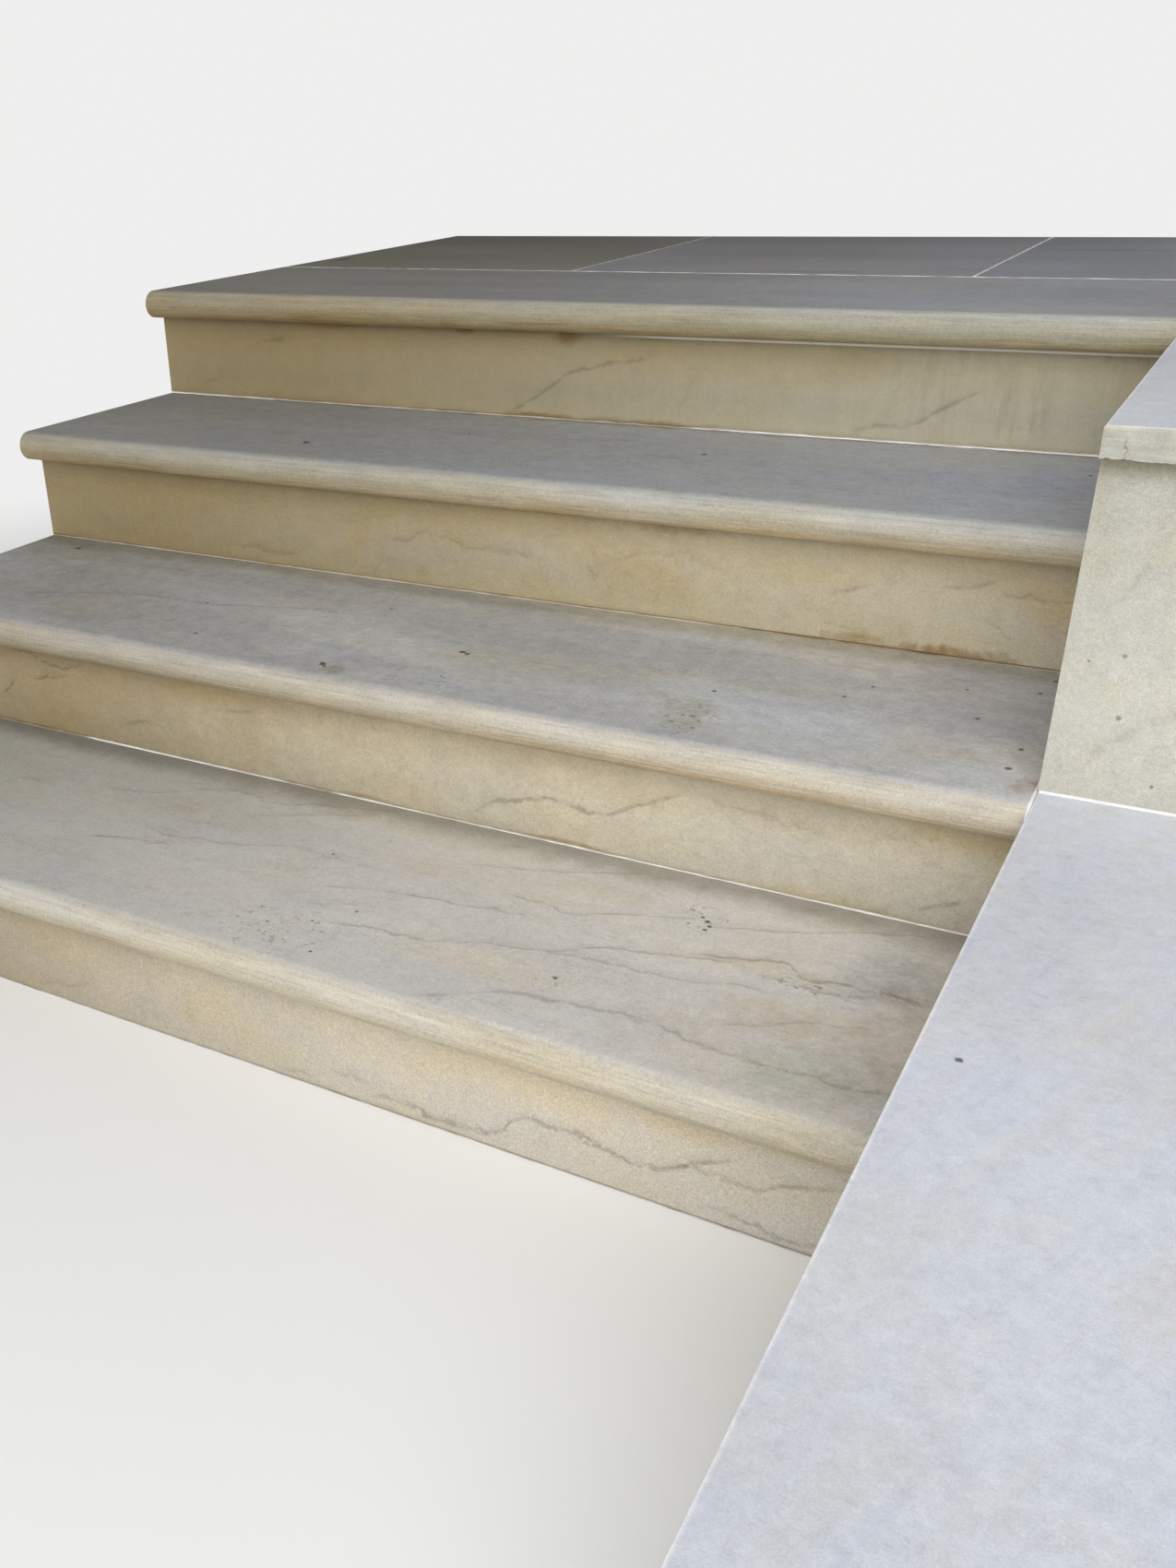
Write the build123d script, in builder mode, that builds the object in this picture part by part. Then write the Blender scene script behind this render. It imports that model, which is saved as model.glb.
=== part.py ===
from build123d import *
import os

os.makedirs("parts", exist_ok=True)

# A flight of four sandstone steps up to a landing, with a stepped cheek wall on
# its right side. All sizes are in millimetres. The origin is on the ground at the
# middle of the footprint, +X runs to the right as one faces the steps, +Y runs
# from the foot of the steps back to the house line, and +Z is up.

# The flight; the first rise is a little higher than the others
step_count = 4
first_rise = 163.0
rise = 159.5
going = 316.0
flight_width = 1477.0
landing_depth = 976.0

# Treads and risers
tread_thickness = 40.0
nosing_overhang = 40.0
riser_thickness = 20.0
riser_backing = 4.0
tread_bed_thickness = 10.0
riser_top_joint = 2.0
foot_joint_height = 3.0
pointing_recess = 1.0

# The paving of the landing
landing_slab_thickness = 22.0
landing_joint_width = 4.0
left_slab_width = 560.0
middle_slab_width = 609.0

# The cheek wall
side_joint_width = 3.0
cheek_core_width = 240.0
cladding_thickness = 20.0
cladding_slab_length = 640.0
cladding_joint_width = 3.0
upper_wall_advance = 4.0

# The copings, flush with the wall on the side of the steps
coping_thickness = 25.0
coping_overhang = 20.0
coping_bed_thickness = 4.0
coping_joint_width = 3.0
coping_stone_length = 1000.0
coping_arris_radius = 2.0


# Places along the depth of the steps, from the face of the first riser
upper_wall_front = going - upper_wall_advance
upper_core_front = upper_wall_front + cladding_thickness
lower_coping_front = upper_core_front - coping_stone_length
lower_wall_front = lower_coping_front + coping_overhang
house_line = (step_count - 1) * going + landing_depth
overall_depth = house_line - lower_coping_front

# Places across the width, from the left end of the treads
wall_inner_face = flight_width + side_joint_width
core_inner_face = wall_inner_face + cladding_thickness
core_outer_face = core_inner_face + cheek_core_width
wall_outer_face = core_outer_face + cladding_thickness
overall_width = wall_outer_face + coping_overhang

# The same places in the frame of the part, whose origin is mid footprint
x_start = -overall_width / 2
y_start = -overall_depth / 2 - lower_coping_front

# Levels of the cheek wall, whose copings lie level with the second and last treads
lower_coping_top = first_rise + rise
lower_coping_underside = lower_coping_top - coping_thickness
lower_cladding_top = lower_coping_underside - coping_bed_thickness
upper_coping_top = first_rise + (step_count - 1) * rise
upper_coping_underside = upper_coping_top - coping_thickness
upper_cladding_top = upper_coping_underside - coping_bed_thickness
upper_course_bottom = lower_cladding_top + cladding_joint_width


def riser_face(step):
    """The depth at which the face of a riser stands, from the first riser."""
    return (step - 1) * going


def level(step):
    """The height of the top of a tread, where step 0 is the ground."""
    return first_rise + (step - 1) * rise if step else 0.0


def underside(step):
    """The height of the underside of a tread."""
    return level(step) - tread_thickness


def core_front(step):
    """The depth at which the masonry behind a riser begins."""
    return riser_face(step) + riser_thickness + riser_backing


def core_top(step):
    """The height of the masonry under a tread, where step 0 is the ground."""
    return underside(step) - tread_bed_thickness if step else 0.0


def tread_back(step):
    """The depth at which a tread ends, under the riser that it carries."""
    return core_front(step + 1)


def block(x_limits, y_limits, z_limits):
    """A squared block between two limits along each axis of the steps."""
    width = x_limits[1] - x_limits[0]
    depth = y_limits[1] - y_limits[0]
    middle = (x_start + x_limits[0] + width / 2, y_start + y_limits[0] + depth / 2)
    with BuildPart() as stone:
        with BuildSketch(Plane.XY.offset(z_limits[0])):
            with Locations(middle):
                Rectangle(width, depth)
        extrude(amount=z_limits[1] - z_limits[0])
    return stone.part


def section(x, points):
    """A closed outline of straight lines on a plane across the flight at x."""
    with BuildSketch(Plane.YZ.offset(x_start + x)) as outline:
        with BuildLine():
            Polyline(*[(y_start + y, z) for y, z in points], close=True)
        make_face()
    return outline.sketch


def rectangle_points(y_limits, z_limits):
    """The four corners of a rectangle in depth and height."""
    return [
        (y_limits[0], z_limits[0]),
        (y_limits[1], z_limits[0]),
        (y_limits[1], z_limits[1]),
        (y_limits[0], z_limits[1]),
    ]


def tread_section(step, x):
    """The section of a tread, with its full half-round nosing."""
    radius = tread_thickness / 2
    tip = y_start + riser_face(step) - nosing_overhang
    back = y_start + tread_back(step)
    top = level(step)
    low = underside(step)
    with BuildSketch(Plane.YZ.offset(x_start + x)) as outline:
        with BuildLine():
            Line((tip + radius, top), (back, top))
            Line((back, top), (back, low))
            Line((back, low), (tip + radius, low))
            ThreePointArc((tip + radius, low), (tip, low + radius), (tip + radius, top))
        make_face()
    return outline.sketch


def slab_limits(start, end):
    """Start and end of each slab in a row of whole slabs and a cut last one."""
    limits = []
    while start < end:
        limits.append((start, min(start + cladding_slab_length, end)))
        start += cladding_slab_length + cladding_joint_width
    return limits


def write(name, part):
    """Label a finished piece and write it to its own file."""
    part.label = name
    export_step(part, f"parts/{name}.step")


# Risers, foot joints, treads, their mortar beds and the masonry courses
flight = (0, flight_width)

for step in range(1, step_count + 1):
    face = riser_face(step)
    foot = level(step - 1)

    with BuildPart() as riser:
        limits = rectangle_points(
            (face, face + riser_thickness),
            (foot + foot_joint_height, underside(step) - riser_top_joint),
        )
        extrude(section(0, limits), amount=flight_width, dir=(1, 0, 0))
    write(f"riser_{step}", riser.part)

    with BuildPart() as tread:
        extrude(tread_section(step, 0), amount=flight_width, dir=(1, 0, 0))
    write(f"tread_{step}", tread.part)

    foot_joint = block(
        flight,
        (face + pointing_recess, face + riser_thickness),
        (foot, foot + foot_joint_height),
    )
    write(f"foot_joint_{step}", foot_joint)

    # The bed lies under the tread and runs down behind the riser
    with BuildPart() as tread_bed:
        low = underside(step)
        bed_points = [
            (face + pointing_recess, low),
            (tread_back(step), low),
            (tread_back(step), core_top(step)),
            (core_front(step), core_top(step)),
            (core_front(step), foot),
            (face + riser_thickness, foot),
            (face + riser_thickness, low - riser_top_joint),
            (face + pointing_recess, low - riser_top_joint),
        ]
        extrude(section(0, bed_points), amount=flight_width, dir=(1, 0, 0))
    write(f"tread_bed_{step}", tread_bed.part)

    core_course = block(
        flight,
        (core_front(step), house_line),
        (core_top(step - 1), core_top(step)),
    )
    write(f"core_course_{step}", core_course)

# The landing behind the top tread: a bed, three slabs and the joints between them
landing_front = tread_back(step_count)
slab_front = landing_front + landing_joint_width
slab_top = level(step_count)
slab_bottom = slab_top - landing_slab_thickness
middle_slab_start = left_slab_width + landing_joint_width
right_slab_start = middle_slab_start + middle_slab_width + landing_joint_width

landing_bed = block(
    flight, (landing_front, house_line), (core_top(step_count), slab_bottom)
)
write("landing_bed", landing_bed)

landing_slabs = {
    "left": (0, left_slab_width),
    "middle": (middle_slab_start, middle_slab_start + middle_slab_width),
    "right": (right_slab_start, flight_width),
}
for side, slab_width_limits in landing_slabs.items():
    slab = block(slab_width_limits, (slab_front, house_line), (slab_bottom, slab_top))
    write(f"landing_slab_{side}", slab)

joint_levels = (slab_bottom, slab_top - pointing_recess)
with BuildPart() as landing_joints:
    add(block(flight, (landing_front, slab_front), joint_levels))
    for joint_end in (middle_slab_start, right_slab_start):
        joint_limits = (joint_end - landing_joint_width, joint_end)
        add(block(joint_limits, (slab_front, house_line), joint_levels))
write("landing_joints", landing_joints.part)

# The mortar joint between the end of the flight and the cheek wall has the
# stepped outline of the flight
with BuildPart() as side_joint:
    for step in range(1, step_count + 1):
        riser_points = rectangle_points(
            (riser_face(step), house_line), (level(step - 1), underside(step))
        )
        extrude(section(flight_width, riser_points), amount=side_joint_width, dir=(1, 0, 0))
        extrude(tread_section(step, flight_width), amount=side_joint_width, dir=(1, 0, 0))
    landing_points = rectangle_points(
        (landing_front, house_line), (underside(step_count), slab_top)
    )
    extrude(section(flight_width, landing_points), amount=side_joint_width, dir=(1, 0, 0))
write("side_joint", side_joint.part)

# The cheek wall's masonry; the upper wall's core is wider behind the last riser,
# where no cladding stands between it and the landing
inner_cladding_end = core_front(step_count)
end_cladding_back = lower_wall_front + cladding_thickness

lower_wall_core = block(
    (core_inner_face, core_outer_face),
    (end_cladding_back, upper_core_front),
    (0, lower_cladding_top),
)
write("lower_wall_core", lower_wall_core)

with BuildPart() as upper_wall_core:
    add(
        block(
            (core_inner_face, core_outer_face),
            (upper_core_front, house_line),
            (0, upper_cladding_top),
        )
    )
    add(
        block(
            (wall_inner_face, core_inner_face),
            (inner_cladding_end, house_line),
            (0, upper_cladding_top),
        )
    )
write("upper_wall_core", upper_wall_core.part)

# The stone cladding of the cheek wall, in two courses along both sides; above the
# lower course, the inner side is short enough for one slab
inner_side = (wall_inner_face, core_inner_face)
outer_side = (core_outer_face, wall_outer_face)
lower_course = (0, lower_cladding_top)
upper_course = (upper_course_bottom, upper_cladding_top)

cladding_courses = {
    "inner_cladding_lower": (inner_side, end_cladding_back, inner_cladding_end, lower_course),
    "outer_cladding_lower": (outer_side, end_cladding_back, house_line, lower_course),
    "outer_cladding_upper": (outer_side, upper_core_front, house_line, upper_course),
}
for name, (side, start, end, heights) in cladding_courses.items():
    with BuildPart() as cladding:
        for slab_start_and_end in slab_limits(start, end):
            add(block(side, slab_start_and_end, heights))
    write(name, cladding.part)

inner_upper_slab = block(inner_side, (upper_core_front, inner_cladding_end), upper_course)
write("inner_cladding_upper", inner_upper_slab)

# The mortar in the joints between the cladding slabs: one along the top of the
# lower course, and one between each slab of a course and the next
inner_joint = (wall_inner_face + pointing_recess, core_inner_face)
outer_joint = (core_outer_face, wall_outer_face - pointing_recess)
bed_joint = (lower_cladding_top, upper_course_bottom)


def upright_joints(side, start, end, heights):
    """The joints between the slabs of one course."""
    with BuildPart() as joints:
        for slab_start, slab_end in slab_limits(start, end)[:-1]:
            add(block(side, (slab_end, slab_end + cladding_joint_width), heights))
    return joints.part


with BuildPart() as inner_cladding_joints:
    add(block(inner_joint, (upper_core_front, inner_cladding_end), bed_joint))
    add(upright_joints(inner_joint, end_cladding_back, inner_cladding_end, lower_course))
write("inner_cladding_joints", inner_cladding_joints.part)

with BuildPart() as outer_cladding_joints:
    add(block(outer_joint, (upper_core_front, house_line), bed_joint))
    add(upright_joints(outer_joint, end_cladding_back, house_line, lower_course))
    add(upright_joints(outer_joint, upper_core_front, house_line, upper_course))
write("outer_cladding_joints", outer_cladding_joints.part)

# The slab on the free end of the lower wall and the slab on the front of the
# upper wall, which stands on the lower coping over a joint of its own
wall_faces = (wall_inner_face, wall_outer_face)
recessed_faces = (wall_inner_face + pointing_recess, wall_outer_face - pointing_recess)

end_cladding = block(wall_faces, (lower_wall_front, end_cladding_back), lower_course)
write("lower_wall_end_cladding", end_cladding)

front_cladding = block(
    wall_faces,
    (upper_wall_front, upper_core_front),
    (lower_coping_top + foot_joint_height, upper_cladding_top),
)
write("upper_wall_front_cladding", front_cladding)

front_cladding_joint = block(
    recessed_faces,
    (upper_wall_front + pointing_recess, upper_core_front),
    (lower_coping_top, lower_coping_top + foot_joint_height),
)
write("upper_wall_foot_joint", front_cladding_joint)

# The copings, each on a thin bed, with rounded arrises along the exposed edges
coping_faces = (wall_inner_face, overall_width)
upper_coping_front = upper_wall_front - coping_overhang
upper_coping_split = upper_coping_front + coping_stone_length

lower_coping_bed = block(
    recessed_faces,
    (lower_wall_front + pointing_recess, upper_core_front),
    (lower_cladding_top, lower_coping_underside),
)
write("lower_coping_bed", lower_coping_bed)

upper_coping_bed = block(
    recessed_faces,
    (upper_wall_front + pointing_recess, house_line),
    (upper_cladding_top, upper_coping_underside),
)
write("upper_coping_bed", upper_coping_bed)

with BuildPart() as lower_coping:
    add(
        block(
            coping_faces,
            (lower_coping_front, upper_core_front),
            (lower_coping_underside, lower_coping_top),
        )
    )
    top_edges = lower_coping.faces().sort_by(Axis.Z)[-1].edges()
    fillet(top_edges.sort_by(Axis.Y)[:-1], radius=coping_arris_radius)
write("lower_coping", lower_coping.part)

with BuildPart() as upper_coping_front_stone:
    add(
        block(
            coping_faces,
            (upper_coping_front, upper_coping_split),
            (upper_coping_underside, upper_coping_top),
        )
    )
    top_edges = upper_coping_front_stone.faces().sort_by(Axis.Z)[-1].edges()
    fillet(top_edges.sort_by(Axis.Y)[:-1], radius=coping_arris_radius)
write("upper_coping_front", upper_coping_front_stone.part)

with BuildPart() as upper_coping_back_stone:
    add(
        block(
            coping_faces,
            (upper_coping_split + coping_joint_width, house_line),
            (upper_coping_underside, upper_coping_top),
        )
    )
    top_edges = upper_coping_back_stone.faces().sort_by(Axis.Z)[-1].edges()
    fillet(top_edges.filter_by(Axis.Y), radius=coping_arris_radius)
write("upper_coping_back", upper_coping_back_stone.part)

upper_coping_joint = block(
    (wall_inner_face + pointing_recess, overall_width - pointing_recess),
    (upper_coping_split, upper_coping_split + coping_joint_width),
    (upper_coping_underside, upper_coping_top - pointing_recess),
)
write("upper_coping_joint", upper_coping_joint)
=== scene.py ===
"""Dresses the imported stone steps: honed sandstone treads with half-round noses, warm
sawn risers, pale copings and cladding on a stepped cheek wall, white pointing and
the plain blockwork behind.

Meshes are in metres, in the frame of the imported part. Marks on the stones are given
in millimetres from the left end of the first riser's foot: x to the right, y back
towards the house and z up.
"""

import logging
from collections.abc import Callable, Iterator, Mapping, Sequence
from contextlib import contextmanager
from dataclasses import dataclass
from enum import Enum
from functools import cached_property
from typing import Union

import bmesh
import bpy
from mathutils import Matrix, Vector

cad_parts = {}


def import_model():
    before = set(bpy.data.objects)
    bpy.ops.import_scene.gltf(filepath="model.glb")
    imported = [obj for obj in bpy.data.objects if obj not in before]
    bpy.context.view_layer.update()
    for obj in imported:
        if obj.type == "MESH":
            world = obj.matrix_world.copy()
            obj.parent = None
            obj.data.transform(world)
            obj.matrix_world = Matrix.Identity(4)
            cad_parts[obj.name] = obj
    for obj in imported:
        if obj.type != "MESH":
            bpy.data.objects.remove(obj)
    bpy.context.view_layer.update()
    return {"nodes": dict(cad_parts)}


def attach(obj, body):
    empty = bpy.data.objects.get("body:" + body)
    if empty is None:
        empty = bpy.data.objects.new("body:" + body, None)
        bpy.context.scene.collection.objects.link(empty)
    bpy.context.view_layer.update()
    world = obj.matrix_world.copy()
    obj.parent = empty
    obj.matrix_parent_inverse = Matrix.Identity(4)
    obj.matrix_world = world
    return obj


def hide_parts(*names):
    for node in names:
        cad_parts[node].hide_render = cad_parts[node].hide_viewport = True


log = logging.getLogger("stone_steps")

Triple = tuple[float, float, float]
RGB = tuple[float, float, float]
Point = tuple[float, float]
Number = Union["Signal", float, int]
Input = Union["Signal", float, int, tuple]

MM = 0.001
CORNER = Vector((-0.890, -0.628, 0.0))  # left end of the first riser's foot, in metres

# Sizes and places in millimetres.
STEPS = 4
GOING = 316.0
RISE = 159.5
FIRST_RISE = 163.0
TREAD = 40.0  # thickness of a tread and its nose
OVERHANG = 40.0  # from a riser's face to the tip of the nose above it
RISER = 20.0  # thickness of a riser
BACKING = 4.0  # mortar between a riser and the blocks behind it
HEAD_JOINT = 2.0  # mortar between a riser's head and the tread above it
FLIGHT = 1477.0  # length of the treads
WALL_FACE = 1480.0
HOUSE = 1924.0  # depth of the landing's back
COPING = 25.0  # thickness of a coping
# Painted shade: where a stone's left colour is darker than its right, that darkening is painted, and the two
# colours blend across this span.
SHADE_BLEND = (60.0, 1420.0)  # where the colours of a stone's two ends run into each other


def level(step: int) -> float:
    """The height of the top of a tread in millimetres, where step 0 is the ground."""
    return FIRST_RISE + (step - 1) * RISE if step else 0.0


def riser_face(step: int) -> float:
    """The depth of a riser's face in millimetres."""
    return (step - 1) * GOING


def riser_back(step: int) -> float:
    """The depth of the blocks behind a riser and its backing, in millimetres."""
    return riser_face(step) + RISER + BACKING


class Signal:
    """A shader socket on which arithmetic adds the nodes that work it out."""

    def __init__(self, shader: "Shader", socket: bpy.types.NodeSocket) -> None:
        """Keeps the shader and the socket."""
        self.shader = shader
        self.socket = socket

    @staticmethod
    def _is_number(side: Input) -> bool:
        """Whether a side of an operation is a single number."""
        if isinstance(side, Signal):
            return side.socket.type == "VALUE"
        return isinstance(side, (int, float))

    def _join(self, operation: str, first: Input, second: Input) -> "Signal":
        """Adds the node of one operation.

        Args:
            operation: The name that Math and Vector Math share.
            first: The left side.
            second: The right side.

        Returns:
            The result, a number where both sides are numbers.
        """
        node = self.shader.node
        if self._is_number(first) and self._is_number(second):
            return node("ShaderNodeMath", {"operation": operation}, {0: first, 1: second})
        if operation == "MULTIPLY" and self._is_number(first):
            first, second = second, first
        if operation == "MULTIPLY" and self._is_number(second):
            sides = {0: first, "Scale": second}
            return node("ShaderNodeVectorMath", {"operation": "SCALE"}, sides)
        first, second = (
            (side,) * 3 if isinstance(side, (int, float)) else side for side in (first, second)
        )
        return node("ShaderNodeVectorMath", {"operation": operation}, {0: first, 1: second})

    def __add__(self, other: Input) -> "Signal":
        """self + other."""
        return self._join("ADD", self, other)

    def __radd__(self, other: Input) -> "Signal":
        """other + self."""
        return self._join("ADD", other, self)

    def __sub__(self, other: Input) -> "Signal":
        """self - other."""
        return self._join("SUBTRACT", self, other)

    def __rsub__(self, other: Input) -> "Signal":
        """other - self."""
        return self._join("SUBTRACT", other, self)

    def __mul__(self, other: Input) -> "Signal":
        """self * other."""
        return self._join("MULTIPLY", self, other)

    def __rmul__(self, other: Input) -> "Signal":
        """other * self."""
        return self._join("MULTIPLY", other, self)

    def __abs__(self) -> "Signal":
        """The size of the number."""
        return self.shader.node("ShaderNodeMath", {"operation": "ABSOLUTE"}, {0: self})

    def most(self, other: Number) -> "Signal":
        """The larger of two numbers."""
        return self._join("MAXIMUM", self, other)

    def times(self, factor: Input, plus: Input) -> "Signal":
        """The number or vector times a factor, plus a last term, in one node.

        Args:
            factor: What it is multiplied by.
            plus: What is then added.

        Returns:
            The result, of the same kind.
        """
        kind = "ShaderNodeMath" if self.socket.type == "VALUE" else "ShaderNodeVectorMath"
        return self.shader.node(kind, {"operation": "MULTIPLY_ADD"}, {0: self, 1: factor, 2: plus})

    def away(self, spot: Triple) -> "Signal":
        """The distance between a vector and a spot."""
        node = self.shader.node
        return node("ShaderNodeVectorMath", {"operation": "DISTANCE"}, {0: self, 1: spot}, "Value")

    def length(self) -> "Signal":
        """The length of a vector."""
        node = self.shader.node
        return node("ShaderNodeVectorMath", {"operation": "LENGTH"}, {0: self}, "Value")

    def ease(self, start: float, end: float) -> "Signal":
        """Goes smoothly from 0 at start to 1 at end, whichever of them is larger.

        Args:
            start: The value that gives 0.
            end: The value that gives 1.

        Returns:
            A number from 0 to 1.
        """
        rising = end > start
        ends = {1: min(start, end), 2: max(start, end), 3: 1.0 - rising, 4: 0.0 + rising}
        smooth = {"interpolation_type": "SMOOTHSTEP"}
        return self.shader.node("ShaderNodeMapRange", smooth, {0: self, **ends})

    def curve(self, points: Sequence[Point]) -> "Signal":
        """Follows a smooth line through given points, each within 0 to 1."""
        return self.shader.node("ShaderNodeFloatCurve", {"curve": points}, {1: self})


class Shader:
    """A material that is written as expressions on places in millimetres.

    colour is its base colour so far, and x, y, z and place say where a point is.
    """

    colour: Signal

    def __init__(self, name: str) -> None:
        """Starts an empty material with its coordinates.

        Args:
            name: The material's name.
        """
        self.material = bpy.data.materials.new(name)
        self.material.use_nodes = True
        self.tree = self.material.node_tree
        self.tree.nodes.clear()
        spot = self.node("ShaderNodeTexCoord", output="Object")
        self.place = (spot - tuple(CORNER)) * (1 / MM)
        self.x, self.y, self.z = (
            self.node("ShaderNodeSeparateXYZ", None, {0: self.place}, axis) for axis in "XYZ"
        )

    def node(
        self,
        kind: str,
        settings: Mapping[str, object] | None = None,
        inputs: Mapping[int | str, Input] | None = None,
        output: int | str = 0,
    ) -> Signal:
        """Adds a node: first its settings, then what its sockets get.

        Args:
            kind: The node's type.
            settings: Its settings, where curve holds the points of a float curve.
            inputs: A value or a signal for each socket, by its number or name.
            output: The socket that is wanted of it.

        Returns:
            The wanted socket, or one of its inputs where it has no outputs.
        """
        made = self.tree.nodes.new(kind)
        for name, value in (settings or {}).items():
            if name == "curve":
                self._bend(made, value)
            else:
                setattr(made, name, value)
        for key, value in (inputs or {}).items():
            socket = made.inputs[key]
            if isinstance(value, Signal):
                self.tree.links.new(value.socket, socket)
            elif socket.type == "RGBA":
                socket.default_value = (*value, 1.0)
            else:
                socket.default_value = value
        return Signal(self, (made.outputs or made.inputs)[output])

    @staticmethod
    def _bend(made: bpy.types.Node, points: Sequence[Point]) -> None:
        """Sets the points of a float curve node.

        Args:
            made: The node, whose curve has two points.
            points: The points that it gets.
        """
        line = made.mapping.curves[0]
        for _ in points[2:]:
            line.points.new(0.5, 0.5)
        for spot, place in zip(line.points, points):
            spot.location = place
            spot.handle_type = "AUTO"
        made.mapping.update()

    def mix(self, amount: Number, first: Input, second: Input) -> Signal:
        """Blends two colours: the first at 0, the second at 1."""
        return self.node("ShaderNodeMix", {"data_type": "RGBA"}, {0: amount, 6: first, 7: second}, 2)

    def stack(self, x: Number, y: Number, z: Number) -> Signal:
        """A vector of three numbers."""
        return self.node("ShaderNodeCombineXYZ", None, {0: x, 1: y, 2: z})

    def noise(
        self,
        size: float,
        detail: float = 2.0,
        stretch: Triple = (1.0, 1.0, 1.0),
        shift: float = 0.0,
        rough: float = 0.5,
    ) -> Signal:
        """Cloudy noise.

        Args:
            size: The size of its features in millimetres.
            detail: How many finer layers it has.
            stretch: How much longer the features are along each axis.
            shift: Moves the pattern, so that two stones differ.
            rough: The weight of the finer layers.

        Returns:
            A number around 0.5, mostly between 0.25 and 0.75.
        """
        spot = self.place * tuple(1 / (size * share) for share in stretch)
        if shift:
            spot = spot + (shift, shift * 0.7, shift * 1.3)
        look = {"Vector": spot, "Scale": 1.0, "Detail": detail, "Roughness": rough}
        return self.node("ShaderNodeTexNoise", None, look)

    def tint(self, amount: Number, tone: RGB) -> None:
        """Multiplies the material's colour by a tone where amount is 1, and not at all at 0."""
        look = {"data_type": "RGBA", "blend_type": "MULTIPLY"}
        self.colour = self.node("ShaderNodeMix", look, {0: amount, 6: self.colour, 7: tone}, 2)

    def finish(self, roughness: Input, height: Signal, gloss: float = 0.25) -> bpy.types.Material:
        """Ends the material in its own colour.

        Args:
            roughness: The roughness.
            height: The relief in millimetres.
            gloss: The specular level.

        Returns:
            The finished material.
        """
        lumps = {"Strength": 1.0, "Distance": MM, "Height": height}
        relief = self.node("ShaderNodeBump", None, lumps)
        look = {
            "Base Color": self.colour,
            "Roughness": roughness,
            "Normal": relief,
            "Specular IOR Level": gloss,
        }
        skin = self.node("ShaderNodeBsdfPrincipled", None, look)
        self.node("ShaderNodeOutputMaterial", None, {"Surface": skin})
        return self.material


class Across(Enum):
    """The direction that marks on a stone's face are placed in, beside x."""

    DEPTH = "y"
    HEIGHT = "z"


@dataclass(frozen=True)
class Vein:
    """A thin dark line through the stone, with a soft band along one side.

    path holds x and depth or height in millimetres, with x rising. width and band are
    the widths of the line and of the band, and depth and band_depth how dark they are.
    """

    path: tuple[Point, ...]
    width: float = 3.0
    depth: float = 0.22
    band: float = 16.0
    band_depth: float = 0.06


@dataclass(frozen=True)
class Stain:
    """A soft patch with ragged edges, at x and depth or height in millimetres.

    size holds its half widths. It is whole inside core of them, and ragged says how
    far its edge wanders.
    """

    centre: Point
    size: Point
    tone: RGB
    ragged: float = 0.5
    core: float = 0.3


@dataclass(frozen=True)
class StoneFinish:
    """The colours and grain of one kind of sandstone, as linear colours.

    left and right are its colours at the two ends of the flight, and where the left is
    darker, the darkening is painted shade. cloud is the size of its clouds in millimetres
    and depth how dark they are, and warm and cool are the tones of its drifts. threads
    says how dark its fine lines are, and mottle, sand and grain how much its blotches,
    coarse grains and fine grains differ. bed stretches the pattern along each axis, and
    shift moves it.
    """

    left: RGB
    right: RGB
    cloud: float = 260.0
    depth: float = 0.10
    warm: RGB = (1.02, 0.99, 0.93)
    cool: RGB = (0.96, 0.975, 1.01)
    threads: float = 0.10
    grain: float = 0.16
    mottle: float = 0.30
    sand: float = 0.26
    roughness: float = 0.72
    bed: Triple = (1.0, 1.0, 1.0)
    shift: float = 0.0


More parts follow.
